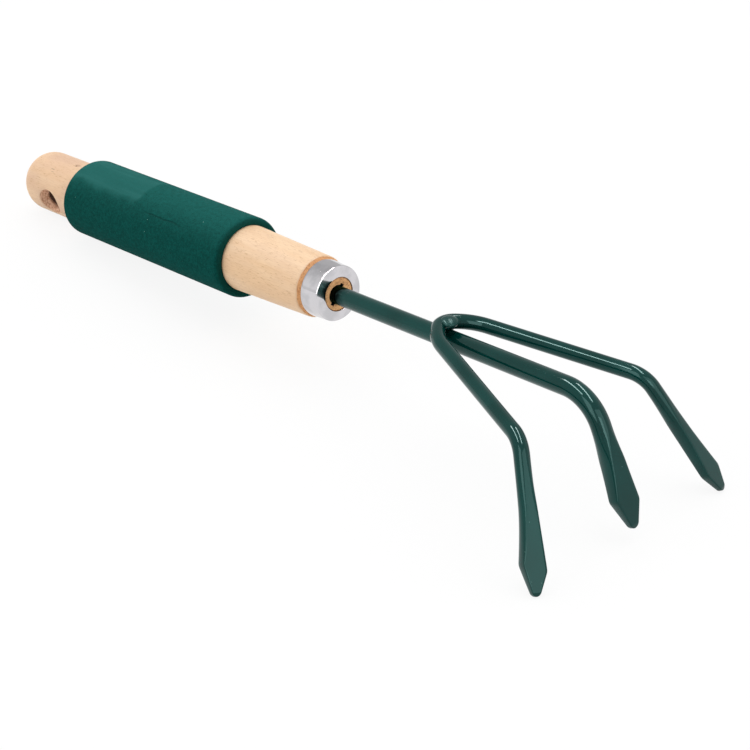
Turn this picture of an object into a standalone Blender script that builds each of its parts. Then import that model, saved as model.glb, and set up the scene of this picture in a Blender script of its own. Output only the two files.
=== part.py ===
"""Hand cultivator with three tines.

A turned wooden handle carries a foam sleeve and a pressed ferrule. A steel rod is driven into the
handle's bore, runs out straight and bends down to become the centre tine. A thinner rod, folded
into a wishbone, lies on top of it and is welded there, and its two ends bend down as the outer
tines. Every tine is forged from round rod to a flat arrow point.

The pieces are drawn in two sets of axes, both with x along the handle towards the tines, y across
and z up, the tines pointing down. The tool's axes have their zero on the handle's axis, just inside
the ferrule's front face. The rods' axes lie beside them, because the rod was driven in off centre.
One empty turns the whole tool to the pose in which it lies on a table, on the two outer points and
the rear of the sleeve. Units are metres.
"""

import math

import bmesh
import bpy
from mathutils import Vector

# Handle, as places along x and radii
HANDLE_DOME_START = -0.2157
HANDLE_DOME_LENGTH = 0.0122
HANDLE_DOME_STEPS = 10
HANDLE_REAR_RADIUS = 0.0144
HANDLE_FRONT_RADIUS = 0.01487
SHOULDER_X = -0.0109
SHOULDER_RADIUS = 0.0135
SHOULDER_SOFTENING = 0.0004
SHOULDER_CHAMFER_RADIUS = 0.0124
SPIGOT_STEP_X = -0.0092
BORE_DEPTH = 0.062

# The handle's nose, which fills the ferrule's hole and ends almost flush with its face
NOSE_RECESS = 0.0002
NOSE_CHAMFER = 0.0003

# Hanging hole, square to the handle and turned this far from the top towards the near side
HOLE_X = -0.1998
HOLE_TURN = math.radians(104.0)
HOLE_RADIUS = 0.0050
HOLE_MOUTH_RADIUS = 0.0083
CUTTER_OVERRUN = 0.004

# Foam sleeve
FOAM_REAR_X = -0.1810
FOAM_FRONT_X = -0.0597
FOAM_REAR_RADIUS = 0.01846
FOAM_FRONT_RADIUS = 0.01833
FOAM_EDGE_RADIUS = 0.0024
FOAM_INNER_EDGE_RADIUS = 0.0005

# Ferrule, its hole pierced a little off centre
FERRULE_FRONT_X = 0.0006
FERRULE_REAR_X = -0.0089
FERRULE_REAR_RADIUS = 0.0126
FERRULE_FRONT_RADIUS = 0.0121
FERRULE_HOLE_RADIUS = 0.0075
FERRULE_HOLE_PLACE = (0.0, 0.0005, -0.0005)
FERRULE_WALL = 0.0008
FERRULE_EDGE_RADIUS = 0.0013

# Where the rods' axes have their zero, and how far the fork lies from them
RODS_PLACE = (0.0, -0.00035, -0.00045)
FORK_OFFSET = -0.0005

# Steel rods
SHANK_RADIUS = 0.0040
FORK_RADIUS = 0.0031
SHANK_BEND_X = 0.1445
SHANK_BEND_RADIUS = 0.018
CENTRE_TIP = Vector((0.1640, 0.0008, -0.04935))
HEEL = Vector((0.0664, 0.0, 0.00647))
HEEL_RADIUS = 0.0067
HEEL_TURN = math.radians(36.9)
FLARE_RADIUS = 0.0235
FORK_SLOPE = -0.16
FORK_BEND = (0.1414, 0.0336)
FORK_BEND_RADIUS = 0.012
OUTER_TIP = Vector((0.1645, 0.0516, -0.05425))

# Wings swaged on the tang, which stop the rod from turning in its bore
WING_SPAN = 0.0096
WING_THICKNESS = 0.0014
WING_FRONT_X = -0.0004
WING_REAR_X = -0.0095
WING_TURN = math.radians(50.0)

# Weld metal in the fork's crotch and round its heel, as (centre, half size)
CROTCH_WELD = (Vector((0.0698, -0.0013, 0.0070)), Vector((0.0030, 0.0035, 0.0032)))
HEEL_WELD = (Vector((0.0651, -0.0004, 0.0015)), Vector((0.0033, 0.0055, 0.0057)))
WELD_RINGS = 12
WELD_BED_RUN = (0.04, 0.09)

# Lying on a table
NOSE_UP = math.radians(6.084)

# Clearance between pieces that touch
GAP = 0.0003

# Facets
TURNED_STEPS = 48
ROD_SIDES = 20
BEND_STEP = math.radians(7.5)

# Directions that the rods are drawn from
FORWARD = Vector((1.0, 0.0, 0.0))
ACROSS = Vector((0.0, 1.0, 0.0))


class Point:
    """The outline of one forged point, measured back from its tip along the tine."""

    def __init__(self, half_width, near_shoulder, far_shoulder, spread_from, tip_radius,
                 shoulder_thickness, tip_thickness):
        self.half_width = half_width
        self.shoulder = {-1: near_shoulder, 1: far_shoulder}
        self.spread_from = spread_from
        self.tip_radius = tip_radius
        self.shoulder_thickness = shoulder_thickness
        self.tip_thickness = tip_thickness


CENTRE_POINT = Point(half_width=0.0063, near_shoulder=0.0124, far_shoulder=0.0096, spread_from=0.028,
                     tip_radius=0.0023, shoulder_thickness=0.0045, tip_thickness=0.0022)
OUTER_POINT = Point(half_width=0.0048, near_shoulder=0.0120, far_shoulder=0.0090, spread_from=0.022,
                    tip_radius=0.0020, shoulder_thickness=0.0042, tip_thickness=0.0020)

# How a point is forged: corner softness in its outline, the ring spacing at a shoulder, how square
# the section becomes (2 is round) and how soon along the tine, and how much the tip's end thins
EDGE_SOFTNESS = 0.0006
EDGE_STEP = 0.0007
SQUARENESS = 4.2
FORGING_RATE = 1.4
TIP_END_SHARE = 0.35

# Rings along a tine, as shares of its length from the tip and shares of the tip's radius
TINE_RING_SHARES = (0.88, 0.74, 0.6)
TIP_RING_SHARES = (1.5, 0.9, 0.5, 0.22, 0.06)

SHARP_ANGLE = math.radians(35.0)


def clear_scene():
    """Removes everything that the scene opens with."""
    for obj in list(bpy.data.objects):
        bpy.data.objects.remove(obj, do_unlink=True)
    for collection in list(bpy.data.collections):
        bpy.data.collections.remove(collection)


def new_collection(name):
    collection = bpy.data.collections.new(name)
    bpy.context.scene.collection.children.link(collection)
    return collection


def new_empty(name, collection, parent=None, location=(0.0, 0.0, 0.0)):
    """A set of axes that other objects are drawn in."""
    axes = bpy.data.objects.new(name, None)
    collection.objects.link(axes)
    axes.parent = parent
    axes.location = location
    return axes


def new_material(name, colour, roughness, metallic=0.0):
    material = bpy.data.materials.new(name)
    material.use_nodes = True
    shader = material.node_tree.nodes["Principled BSDF"]
    shader.inputs["Base Color"].default_value = (*colour, 1.0)
    shader.inputs["Roughness"].default_value = roughness
    shader.inputs["Metallic"].default_value = metallic
    material.diffuse_color = (*colour, 1.0)
    return material


def new_object(name, mesh, collection, parent, material=None):
    obj = bpy.data.objects.new(name, mesh)
    collection.objects.link(obj)
    obj.parent = parent
    if material:
        mesh.materials.append(material)
    return obj


def shade(mesh):
    """Smooth shading with the real edges kept sharp."""
    mesh.shade_smooth()
    mesh.set_sharp_from_angle(angle=SHARP_ANGLE)


def arc(centre, radius, start, end, steps):
    """Points of an arc in a turned profile, as (distance from the axis, place along it)."""
    across, along = centre
    angles = [math.radians(start + (end - start) * i / steps) for i in range(steps + 1)]
    return [(across + radius * math.cos(a), along + radius * math.sin(a)) for a in angles]


def turned(name, profile, collection, parent, material=None, closed=False):
    """Turns a profile, given as (distance from the axis, place along it), about the handle's axis."""
    mesh = bpy.data.meshes.new(name)
    points = [(across, 0.0, along) for across, along in profile]
    edges = [(i, i + 1) for i in range(len(points) - 1)]
    if closed:
        edges.append((len(points) - 1, 0))
    mesh.from_pydata(points, edges, [])
    obj = new_object(name, mesh, collection, parent, material)
    obj.rotation_euler = (0.0, math.radians(90.0), 0.0)
    screw = obj.modifiers.new("turn", "SCREW")
    screw.axis = "Z"
    screw.steps = TURNED_STEPS
    screw.render_steps = TURNED_STEPS
    screw.use_merge_vertices = True
    screw.merge_threshold = 0.00001
    screw.use_smooth_shade = True
    return obj


def apply_boolean(obj, operand, operation, name):
    """Joins or cuts an object with another, which is then only a helper."""
    operand.hide_render = True
    operand.display_type = "WIRE"
    boolean = obj.modifiers.new(name, "BOOLEAN")
    boolean.operation = operation
    boolean.solver = "EXACT"
    boolean.object = operand


def handle_profile():
    """Spigot, shoulder, body and domed end, from the front round to the rear tip."""
    seat = FERRULE_WALL + GAP
    front = FERRULE_FRONT_X - seat
    spigot_front = FERRULE_FRONT_RADIUS - seat
    spigot_rear = FERRULE_REAR_RADIUS - seat
    soft = SHOULDER_SOFTENING
    profile = [(0.0, front), (spigot_front - seat, front), (spigot_front, front - seat)]
    profile += [(spigot_rear, SPIGOT_STEP_X), (SHOULDER_CHAMFER_RADIUS, SPIGOT_STEP_X)]
    profile += [(SHOULDER_RADIUS - soft, SHOULDER_X + soft), (SHOULDER_RADIUS, SHOULDER_X - soft)]
    profile += [(HANDLE_FRONT_RADIUS, FOAM_FRONT_X), (HANDLE_REAR_RADIUS, FOAM_REAR_X)]
    profile += [(HANDLE_REAR_RADIUS, HANDLE_DOME_START)]
    for i in range(1, HANDLE_DOME_STEPS + 1):
        angle = 0.5 * math.pi * i / HANDLE_DOME_STEPS
        across = 0.0 if i == HANDLE_DOME_STEPS else HANDLE_REAR_RADIUS * math.cos(angle)
        profile.append((across, HANDLE_DOME_START - HANDLE_DOME_LENGTH * math.sin(angle)))
    return profile


def nose_profile():
    """The short round nose, reaching back into the spigot."""
    radius = FERRULE_HOLE_RADIUS - GAP
    front = FERRULE_FRONT_X - NOSE_RECESS
    root = FERRULE_FRONT_X - 2.0 * (FERRULE_WALL + GAP)
    return [(0.0, front), (radius - NOSE_CHAMFER, front), (radius, front - NOSE_CHAMFER), (radius, root),
            (0.0, root)]


def hanging_hole_profile():
    """A drilled hole with a countersink at each end, as a cutter along its own axis."""
    sink = HOLE_MOUTH_RADIUS - HOLE_RADIUS
    waist = HANDLE_REAR_RADIUS - sink
    reach = HANDLE_REAR_RADIUS + CUTTER_OVERRUN
    flare = HOLE_RADIUS + reach - waist
    return [(0.0, reach), (flare, reach), (HOLE_RADIUS, waist), (HOLE_RADIUS, -waist), (flare, -reach),
            (0.0, -reach)]


def cylinder_profile(radius, front, rear):
    return [(0.0, front), (radius, front), (radius, rear), (0.0, rear)]


def wing_plate(name, rear, front, grow, collection, parent):
    """The tang's two wings as one plate through the rod's axis, or the slot that holds it."""
    mesh = bpy.data.meshes.new(name)
    shape = bmesh.new()
    bmesh.ops.create_cube(shape, size=1.0)
    size = (front - rear, WING_SPAN + 2.0 * grow, WING_THICKNESS + 2.0 * grow)
    bmesh.ops.scale(shape, vec=size, verts=shape.verts)
    shape.to_mesh(mesh)
    shape.free()
    obj = new_object(name, mesh, collection, parent)
    obj.location = (0.5 * (front + rear), 0.0, 0.0)
    obj.rotation_euler = (WING_TURN, 0.0, 0.0)
    return obj


def make_handle(parts, cutters, tool, rods, material):
    """The turned handle with its nose, bored for the rod, drilled for hanging and slotted for the wings."""
    handle = turned("wooden_handle", handle_profile(), parts, tool, material)
    nose = turned("handle_nose", nose_profile(), cutters, tool)
    nose.location = FERRULE_HOLE_PLACE
    apply_boolean(handle, nose, "UNION", "nose")
    bore_profile = cylinder_profile(SHANK_RADIUS + GAP, CUTTER_OVERRUN, -BORE_DEPTH)
    apply_boolean(handle, turned("bore_cutter", bore_profile, cutters, rods), "DIFFERENCE", "bore")
    slot = wing_plate("wing_slot_cutter", WING_REAR_X - GAP, CUTTER_OVERRUN, GAP, cutters, rods)
    apply_boolean(handle, slot, "DIFFERENCE", "wing slot")
    hole = turned("hanging_hole_cutter", hanging_hole_profile(), cutters, tool)
    hole.location = (HOLE_X, 0.0, 0.0)
    hole.rotation_euler = (HOLE_TURN, 0.0, 0.0)
    apply_boolean(handle, hole, "DIFFERENCE", "hanging hole")


def make_foam(parts, tool, material):
    """A sleeve with soft outer corners, slid onto the handle."""
    outer = FOAM_EDGE_RADIUS
    inner = FOAM_INNER_EDGE_RADIUS
    bore_front = HANDLE_FRONT_RADIUS + GAP
    bore_rear = HANDLE_REAR_RADIUS + GAP
    profile = arc((bore_front + inner, FOAM_FRONT_X - inner), inner, 180.0, 90.0, 2)
    profile += arc((FOAM_FRONT_RADIUS - outer, FOAM_FRONT_X - outer), outer, 90.0, 0.0, 6)
    profile += arc((FOAM_REAR_RADIUS - outer, FOAM_REAR_X + outer), outer, 0.0, -90.0, 6)
    profile += arc((bore_rear + inner, FOAM_REAR_X + inner), inner, -90.0, -180.0, 2)
    turned("foam_grip", profile, parts, tool, material, closed=True)


def make_ferrule(parts, cutters, tool, material):
    """A pressed cup: thin wall, rounded front edge and a hole for the nose."""
    edge = FERRULE_EDGE_RADIUS
    front = (FERRULE_FRONT_RADIUS - edge, FERRULE_FRONT_X - edge)
    profile = [(0.0, FERRULE_FRONT_X)]
    profile += arc(front, edge, 90.0, 0.0, 6)
    profile += [(FERRULE_REAR_RADIUS, FERRULE_REAR_X)]
    profile += [(FERRULE_REAR_RADIUS - FERRULE_WALL, FERRULE_REAR_X)]
    profile += arc(front, edge - FERRULE_WALL, 0.0, 90.0, 3)
    profile += [(0.0, FERRULE_FRONT_X - FERRULE_WALL)]
    ferrule = turned("ferrule", profile, parts, tool, material)
    hole_profile = cylinder_profile(FERRULE_HOLE_RADIUS, CUTTER_OVERRUN, -CUTTER_OVERRUN)
    hole = turned("ferrule_hole_cutter", hole_profile, cutters, tool)
    hole.location = FERRULE_HOLE_PLACE
    apply_boolean(ferrule, hole, "DIFFERENCE", "hole")


def soft_min(a, b, softness):
    """The smaller of two values, with the corner between them rounded off."""
    h = max(softness - abs(a - b), 0.0) / softness
    return min(a, b) - 0.25 * softness * h * h


def half_width(point, side, back, rod_radius):
    """How far the tine reaches to one side of its axis, at a distance back from the tip."""
    radius = point.tip_radius
    shoulder = point.shoulder[side]
    reach = math.hypot(shoulder - radius, point.half_width)
    turn = math.atan2(point.half_width, shoulder - radius) + math.acos(radius / reach)
    touch_back = radius + radius * math.cos(turn)
    touch_width = radius * math.sin(turn)
    if back <= touch_back:
        return math.sqrt(max(radius ** 2 - (radius - back) ** 2, 0.0))
    slope = (point.half_width - touch_width) / (shoulder - touch_back)
    edge = touch_width + slope * (back - touch_back)
    spread = (point.half_width - rod_radius) / (point.spread_from - shoulder)
    body = max(point.half_width - spread * (back - shoulder), rod_radius)
    return soft_min(edge, body, EDGE_SOFTNESS)


def thickness(point, back, rod_radius, tine_length):
    """How thick the forged tine is, at a distance back from the tip."""
    shoulder = 0.5 * (point.shoulder[-1] + point.shoulder[1])
    if back < shoulder:
        flat = point.tip_thickness + (point.shoulder_thickness - point.tip_thickness) * back / shoulder
        return flat * min(1.0, math.sqrt(TIP_END_SHARE + back / point.tip_radius))
    share = min((back - shoulder) / (tine_length - shoulder), 1.0)
    return point.shoulder_thickness + (2.0 * rod_radius - point.shoulder_thickness) * share


def section(widths, depth, squareness):
    """One ring of a rod as (across, through) pairs: round at 2, squarer above it."""
    ring = []
    for i in range(ROD_SIDES):
        angle = 2.0 * math.pi * i / ROD_SIDES
        c, s = math.cos(angle), math.sin(angle)
        power = 2.0 / squareness
        across = math.copysign(abs(c) ** power, c) * widths[1 if c > 0.0 else -1]
        through = math.copysign(abs(s) ** power, s) * 0.5 * depth
        ring.append((across, through))
    return ring


def round_section(radius):
    return section({-1: radius, 1: radius}, 2.0 * radius, 2.0)


def bend_points(corner, before, after, radius):
    """Centre line of a bend as (place, direction) pairs."""
    way_in = (corner - before).normalized()
    way_out = (after - corner).normalized()
    angle = way_in.angle(way_out)
    inward = (way_out - way_in * way_out.dot(way_in)).normalized()
    centre = corner - way_in * radius * math.tan(0.5 * angle) + inward * radius
    count = math.ceil(angle / BEND_STEP)
    found = []
    for i in range(count + 1):
        turn = angle * i / count
        place = centre - inward * radius * math.cos(turn) + way_in * radius * math.sin(turn)
        found.append((place, way_in * math.cos(turn) + inward * math.sin(turn)))
    return found


def fork_height(x):
    """Height of the fork's centre line, which slopes down from the heel."""
    return HEEL.z + FORK_SLOPE * (x - HEEL.x)


def fork_plan(x, y, heading):
    """Place and direction of the far half's centre line, from its plan view."""
    way = Vector((math.cos(heading), math.sin(heading), FORK_SLOPE * math.cos(heading)))
    return Vector((x, y, fork_height(x))), way.normalized()


def heel_points():
    """Centre line from the heel's middle to where the far arm runs straight at its bend.

    The heel is a tight arc, and the arm leaves it in a long one: the second heading of that arc is
    the one whose tangent meets the bend.
    """
    square = 0.5 * math.pi
    eased = square - HEEL_TURN
    tight = (HEEL.x + HEEL_RADIUS, 0.0)
    shift = FLARE_RADIUS - HEEL_RADIUS
    wide = (tight[0] + shift * math.sin(eased), tight[1] - shift * math.cos(eased))
    away = (FORK_BEND[0] - wide[0], FORK_BEND[1] - wide[1])
    straight = math.atan2(away[1], away[0]) - math.asin(FLARE_RADIUS / math.hypot(*away))
    count = math.ceil(HEEL_TURN / BEND_STEP)
    stretches = [(tight, HEEL_RADIUS, square - HEEL_TURN * i / count) for i in range(count + 1)]
    count = math.ceil((eased - straight) / BEND_STEP)
    stretches += [(wide, FLARE_RADIUS, eased + (straight - eased) * i / count) for i in range(1, count + 1)]
    return [fork_plan(centre[0] - radius * math.sin(heading), centre[1] + radius * math.cos(heading), heading)
            for centre, radius, heading in stretches]


def round_rings(stations, across, reference, radius):
    """Round rings at (place, direction) stations; across is their width axis where they run as reference does."""
    rings = []
    for place, way in stations:
        carried = across.copy()
        carried.rotate(reference.rotation_difference(way))
        rings.append((place, way, carried, round_section(radius)))
    return rings


def tine_rings(start, tip, across, point, rod_radius):
    """Rings of one straight tine from where its bend ends to its tip."""
    way = (tip - start).normalized()
    length = (tip - start).length
    shoulders = sorted(point.shoulder.values())
    backs = [length * share for share in TINE_RING_SHARES]
    backs += [point.spread_from, 0.5 * (point.spread_from + shoulders[1]), 0.5 * shoulders[0]]
    for shoulder in shoulders:
        backs += [shoulder + EDGE_STEP, shoulder, shoulder - EDGE_STEP]
    backs += [point.tip_radius * share for share in TIP_RING_SHARES]
    rings = []
    for back in sorted(backs, reverse=True):
        widths = {side: half_width(point, side, back, rod_radius) for side in (-1, 1)}
        depth = thickness(point, back, rod_radius, length)
        forged = min(1.0, FORGING_RATE * (1.0 - back / length))
        ring = section(widths, depth, 2.0 + (SQUARENESS - 2.0) * forged)
        rings.append((tip - way * back, way, across, ring))
    return rings


def loft_loops(shape, rings):
    """Adds each ring's vertices, started where they lie nearest to those of the ring before."""
    loops = []
    for place, way, across, ring in rings:
        through = way.cross(across)
        spots = [place + across * a + through * t for a, t in ring]
        if loops:
            last = [vert.co for vert in loops[-1]]
            gaps = [sum((last[i] - spots[(i + k) % ROD_SIDES]).length for i in range(ROD_SIDES))
                    for k in range(ROD_SIDES)]
            k = gaps.index(min(gaps))
            spots = spots[k:] + spots[:k]
        loops.append([shape.verts.new(spot) for spot in spots])
    return loops


def loft(name, rings, collection, parent, material=None):
    """A solid through rings of equal count, each given with its place, direction and width axis."""
    shape = bmesh.new()
    loops = loft_loops(shape, rings)
    for first, second in zip(loops, loops[1:]):
        for i in range(ROD_SIDES):
            j = (i + 1) % ROD_SIDES
            shape.faces.new((first[i], first[j], second[j], second[i]))
    shape.faces.new(loops[0])
    shape.faces.new(loops[-1])
    bmesh.ops.recalc_face_normals(shape, faces=shape.faces)
    mesh = bpy.data.meshes.new(name)
    shape.to_mesh(mesh)
    shape.free()
    shade(mesh)
    return new_object(name, mesh, collection, parent, material)


def shank_rings():
    """The shank from its end in the handle to the tip of the centre tine."""
    start = Vector((GAP - BORE_DEPTH, 0.0, 0.0))
    corner = Vector((SHANK_BEND_X, 0.0, 0.0))
    bend = bend_points(corner, start, CENTRE_TIP, SHANK_BEND_RADIUS)
    rings = round_rings([(start, FORWARD)] + bend, ACROSS, FORWARD, SHANK_RADIUS)
    return rings + tine_rings(bend[-1][0], CENTRE_TIP, ACROSS, CENTRE_POINT, SHANK_RADIUS)


def on_side(vector, side):
    """The vector itself on the far side (1), its mirror image on the near side (-1)."""
    return Vector((vector.x, side * vector.y, vector.z))


def fork_half(side, radius, forged):
    """Rings of one half of the fork, from its heel to the tip of its tine.

    The halves mirror each other, apart from the points' shoulders, which keep the same hands.
    """
    stations = [(on_side(place, side), on_side(way, side)) for place, way in heel_points()]
    corner = on_side(Vector((*FORK_BEND, fork_height(FORK_BEND[0]))), side)
    tip = on_side(OUTER_TIP, side)
    last, arm = stations[-1]
    across = arm.cross(tip - corner).normalized()
    across = across if across.y > 0.0 else -across
    bend = bend_points(corner, last, tip, FORK_BEND_RADIUS)
    rings = round_rings(stations + bend, across, arm, radius)
    if forged:
        rings += tine_rings(bend[-1][0], tip, across, OUTER_POINT, radius)
    return rings


def fork_rings(radius, forged=True):
    """The whole fork, from the near tip through the heel to the far one."""
    near = [(place, -way, across, ring) for place, way, across, ring in fork_half(-1, radius, forged)]
    return near[::-1] + fork_half(1, radius, forged)[1:]


def make_weld(name, size, beds, parts, parent, material):
    """A bead of weld metal: a rounded lump that stops short of the rods it joins."""
    centre, half = size
    mesh = bpy.data.meshes.new(name)
    shape = bmesh.new()
    bmesh.ops.create_uvsphere(shape, u_segments=2 * WELD_RINGS, v_segments=WELD_RINGS, radius=1.0)
    bmesh.ops.scale(shape, vec=half, verts=shape.verts)
    shape.to_mesh(mesh)
    shape.free()
    mesh.shade_smooth()
    weld = new_object(name, mesh, parts, parent, material)
    weld.location = centre
    for bed in beds:
        apply_boolean(weld, bed, "DIFFERENCE", bed.name)


def make_rods(parts, cutters, rods, material):
    """The shank with its wings, the fork sunk a little into it, and the welds between them."""
    fork = loft("outer_tine_fork", fork_rings(FORK_RADIUS), parts, rods, material)
    fork_bed = loft("bed_of_the_fork", fork_rings(FORK_RADIUS + GAP, forged=False), cutters, rods)
    for obj in (fork, fork_bed):
        obj.location.y = FORK_OFFSET

    shank = loft("shank_and_centre_tine", shank_rings(), parts, rods, material)
    wings = wing_plate("tang_wings", WING_REAR_X, WING_FRONT_X, 0.0, cutters, rods)
    apply_boolean(shank, wings, "UNION", "wings")
    apply_boolean(shank, fork_bed, "DIFFERENCE", "seat for the fork")

    ends = [(Vector((x, 0.0, 0.0)), FORWARD, ACROSS, round_section(SHANK_RADIUS + GAP)) for x in WELD_BED_RUN]
    shank_bed = loft("bed_of_the_shank", ends, cutters, rods)
    make_weld("crotch_weld", CROTCH_WELD, (fork_bed, shank_bed), parts, rods, material)
    make_weld("heel_weld", HEEL_WELD, (fork_bed, shank_bed), parts, rods, material)


def corners(parts):
    """World corners of the box round every part, with its modifiers."""
    bpy.context.view_layer.update()
    graph = bpy.context.evaluated_depsgraph_get()
    points = []
    for obj in parts.objects:
        if obj.type != "MESH":
            continue
        solid = obj.evaluated_get(graph)
        mesh = solid.to_mesh()
        points += [solid.matrix_world @ vert.co for vert in mesh.vertices]
        solid.to_mesh_clear()
    low = Vector([min(point[i] for point in points) for i in range(3)])
    high = Vector([max(point[i] for point in points) for i in range(3)])
    return low, high


def main():
    clear_scene()
    parts = new_collection("hand_cultivator")
    cutters = new_collection("cutters")
    tool = new_empty("tool_axes", parts)
    tool.rotation_euler = (0.0, -NOSE_UP, 0.0)
    rods = new_empty("rod_axes", parts, tool, RODS_PLACE)

    wood = new_material("pale_wood", (0.80, 0.56, 0.33), 0.55)
    foam = new_material("green_foam", (0.008, 0.085, 0.066), 0.90)
    chrome = new_material("bright_chrome", (0.82, 0.83, 0.85), 0.12, 1.0)
    enamel = new_material("green_enamel", (0.012, 0.055, 0.045), 0.22)

    make_handle(parts, cutters, tool, rods, wood)
    make_foam(parts, tool, foam)
    make_ferrule(parts, cutters, tool, chrome)
    make_rods(parts, cutters, rods, enamel)

    low, high = corners(parts)
    tool.location = (-0.5 * (low.x + high.x), -0.5 * (low.y + high.y), -low.z)


main()
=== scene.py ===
"""Looks of the hand cultivator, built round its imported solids.

The tool lies on a white floor on its two outer points and its foam sleeve. The rods, the weld metal,
the sleeve, the ferrule and the handle are each rebuilt finer than the solids, in the same places, and
dressed as glossy enamel, foam rubber, bright plate and varnished wood. Units are metres.
"""

import logging
import math
from dataclasses import dataclass, field
from enum import Enum
from typing import Callable, Sequence

import bmesh
import bpy
from mathutils import Euler, Matrix, Vector


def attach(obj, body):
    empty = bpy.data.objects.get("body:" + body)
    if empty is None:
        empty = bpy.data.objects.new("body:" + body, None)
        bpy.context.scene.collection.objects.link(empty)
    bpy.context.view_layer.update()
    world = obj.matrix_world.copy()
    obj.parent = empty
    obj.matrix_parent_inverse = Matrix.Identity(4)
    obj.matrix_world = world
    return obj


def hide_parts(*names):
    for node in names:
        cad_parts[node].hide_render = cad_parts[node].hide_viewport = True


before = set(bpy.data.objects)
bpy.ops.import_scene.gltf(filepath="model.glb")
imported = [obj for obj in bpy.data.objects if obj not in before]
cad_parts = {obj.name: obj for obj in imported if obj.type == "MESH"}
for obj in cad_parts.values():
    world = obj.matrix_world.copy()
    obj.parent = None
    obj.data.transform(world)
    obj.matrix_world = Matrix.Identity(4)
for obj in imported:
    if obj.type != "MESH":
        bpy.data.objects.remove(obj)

LOG = logging.getLogger("hand_cultivator")

# The tool's axes: x along the handle towards the tines, zero just inside the ferrule's front face
TOOL_PLACE = Vector((0.028334, 0.000711, 0.037285))
NOSE_UP = math.radians(6.084)
TOOL_AXES = Matrix.Translation(TOOL_PLACE) @ Euler((0.0, -NOSE_UP, 0.0)).to_matrix().to_4x4()

# The rods' axes lie beside the tool's, because the rod was driven in off centre
RODS_PLACE = Vector((0.0, -0.00035, -0.00045))
RODS_AXES = TOOL_AXES @ Matrix.Translation(RODS_PLACE)

# The nose and the ferrule's hole round it lie beside the tool's axis too
NOSE_PLACE = Vector((0.0, 0.0005, -0.0005))

# The sleeve's ends along the handle, the hanging hole's place and turn, and the turn of the tang's wings
FOAM_REAR, FOAM_FRONT = -0.1810, -0.0597
HOLE_X = -0.1998
HOLE_TURN = math.radians(104.0)
WING_TURN = math.radians(50.0)

# Points nearer than this are one point
MERGE_DISTANCE = 1e-7

ALONG_X = Vector((1.0, 0.0, 0.0))
ALONG_Y = Vector((0.0, 1.0, 0.0))

# Which way a noise is moved, so that two noises of one fineness differ
SHIFT_WAY = Vector((1.0, 1.7, 2.3))


class Side(Enum):
    """The two sides of the tool, as the sign of y."""

    NEAR = -1
    FAR = 1


class Slot(Enum):
    """The record's material slots."""

    WOOD = "wood"
    FOAM = "foam"
    CHROME = "chrome"
    ENAMEL = "enamel"


def srgb(red: float, green: float, blue: float) -> tuple[float, float, float, float]:
    """A colour given as screen values from 0 to 255, as the linear colour that a shader takes.

    Args:
        red: Red, from 0 to 255.
        green: Green, from 0 to 255.
        blue: Blue, from 0 to 255.

    Returns:
        The linear colour with an alpha of 1.
    """
    def linear(value: float) -> float:
        """One channel made linear."""
        share = value / 255.0
        return share / 12.92 if share <= 0.04045 else ((share + 0.055) / 1.055) ** 2.4

    return linear(red), linear(green), linear(blue), 1.0


def smooth(edge_low: float, edge_high: float, value: float) -> float:
    """A soft step from 0 to 1 between two edges."""
    share = min(max((value - edge_low) / (edge_high - edge_low), 0.0), 1.0)
    return share * share * (3.0 - 2.0 * share)


class Field:
    """What varies over a surface: a node's output, with arithmetic."""

    def __init__(self, nodes: "Nodes", socket: bpy.types.NodeSocket) -> None:
        """Wraps one output socket."""
        self.nodes = nodes
        self.socket = socket

    def _math(self, operation: str, *values: "Field | float") -> "Field":
        """One Math node on some values."""
        return self.nodes.node("ShaderNodeMath", {"operation": operation}, dict(enumerate(values)))

    def __add__(self, other: "Field | float") -> "Field":
        """The sum."""
        return self._math("ADD", self, other)

    def __radd__(self, other: float) -> "Field":
        """The sum, from the right."""
        return self._math("ADD", other, self)

    def __sub__(self, other: "Field | float") -> "Field":
        """The difference."""
        return self._math("SUBTRACT", self, other)

    def __rsub__(self, other: float) -> "Field":
        """The difference, from the right."""
        return self._math("SUBTRACT", other, self)

    def __mul__(self, other: "Field | float") -> "Field":
        """The product."""
        return self._math("MULTIPLY", self, other)

    def __rmul__(self, other: float) -> "Field":
        """The product, from the right."""
        return self._math("MULTIPLY", other, self)

    def __abs__(self) -> "Field":
        """The size without its sign."""
        return self._math("ABSOLUTE", self)

    def maximum(self, other: "Field | float") -> "Field":
        """The larger of two."""
        return self._math("MAXIMUM", self, other)

    def turn(self, other: "Field | float") -> "Field":
        """The turn, in radians, of a point that lies this far aside and the other far ahead."""
        return self._math("ARCTAN2", self, other)

    def step(self, low: float, high: float) -> "Field":
        """A soft step from 0 where this is at low to 1 where it is at high.

        Args:
            low: The value that gives 0. It may be the larger one.
            high: The value that gives 1.

        Returns:
            A field from 0 to 1.
        """
        start, end = (0.0, 1.0) if low < high else (1.0, 0.0)
        inputs = {0: self, 1: min(low, high), 2: max(low, high), 3: start, 4: end}
        return self.nodes.node("ShaderNodeMapRange", {"interpolation_type": "SMOOTHSTEP"}, inputs)


@dataclass(frozen=True)
class Noise:
    """How fine a noise is, in features per metre along x, y and z, and how it is layered and moved."""

    per_metre: tuple[float, float, float]
    detail: float = 2.0
    roughness: float = 0.5
    shift: float = 0.0


def even(per_metre: float) -> tuple[float, float, float]:
    """The same fineness along every axis."""
    return per_metre, per_metre, per_metre


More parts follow.
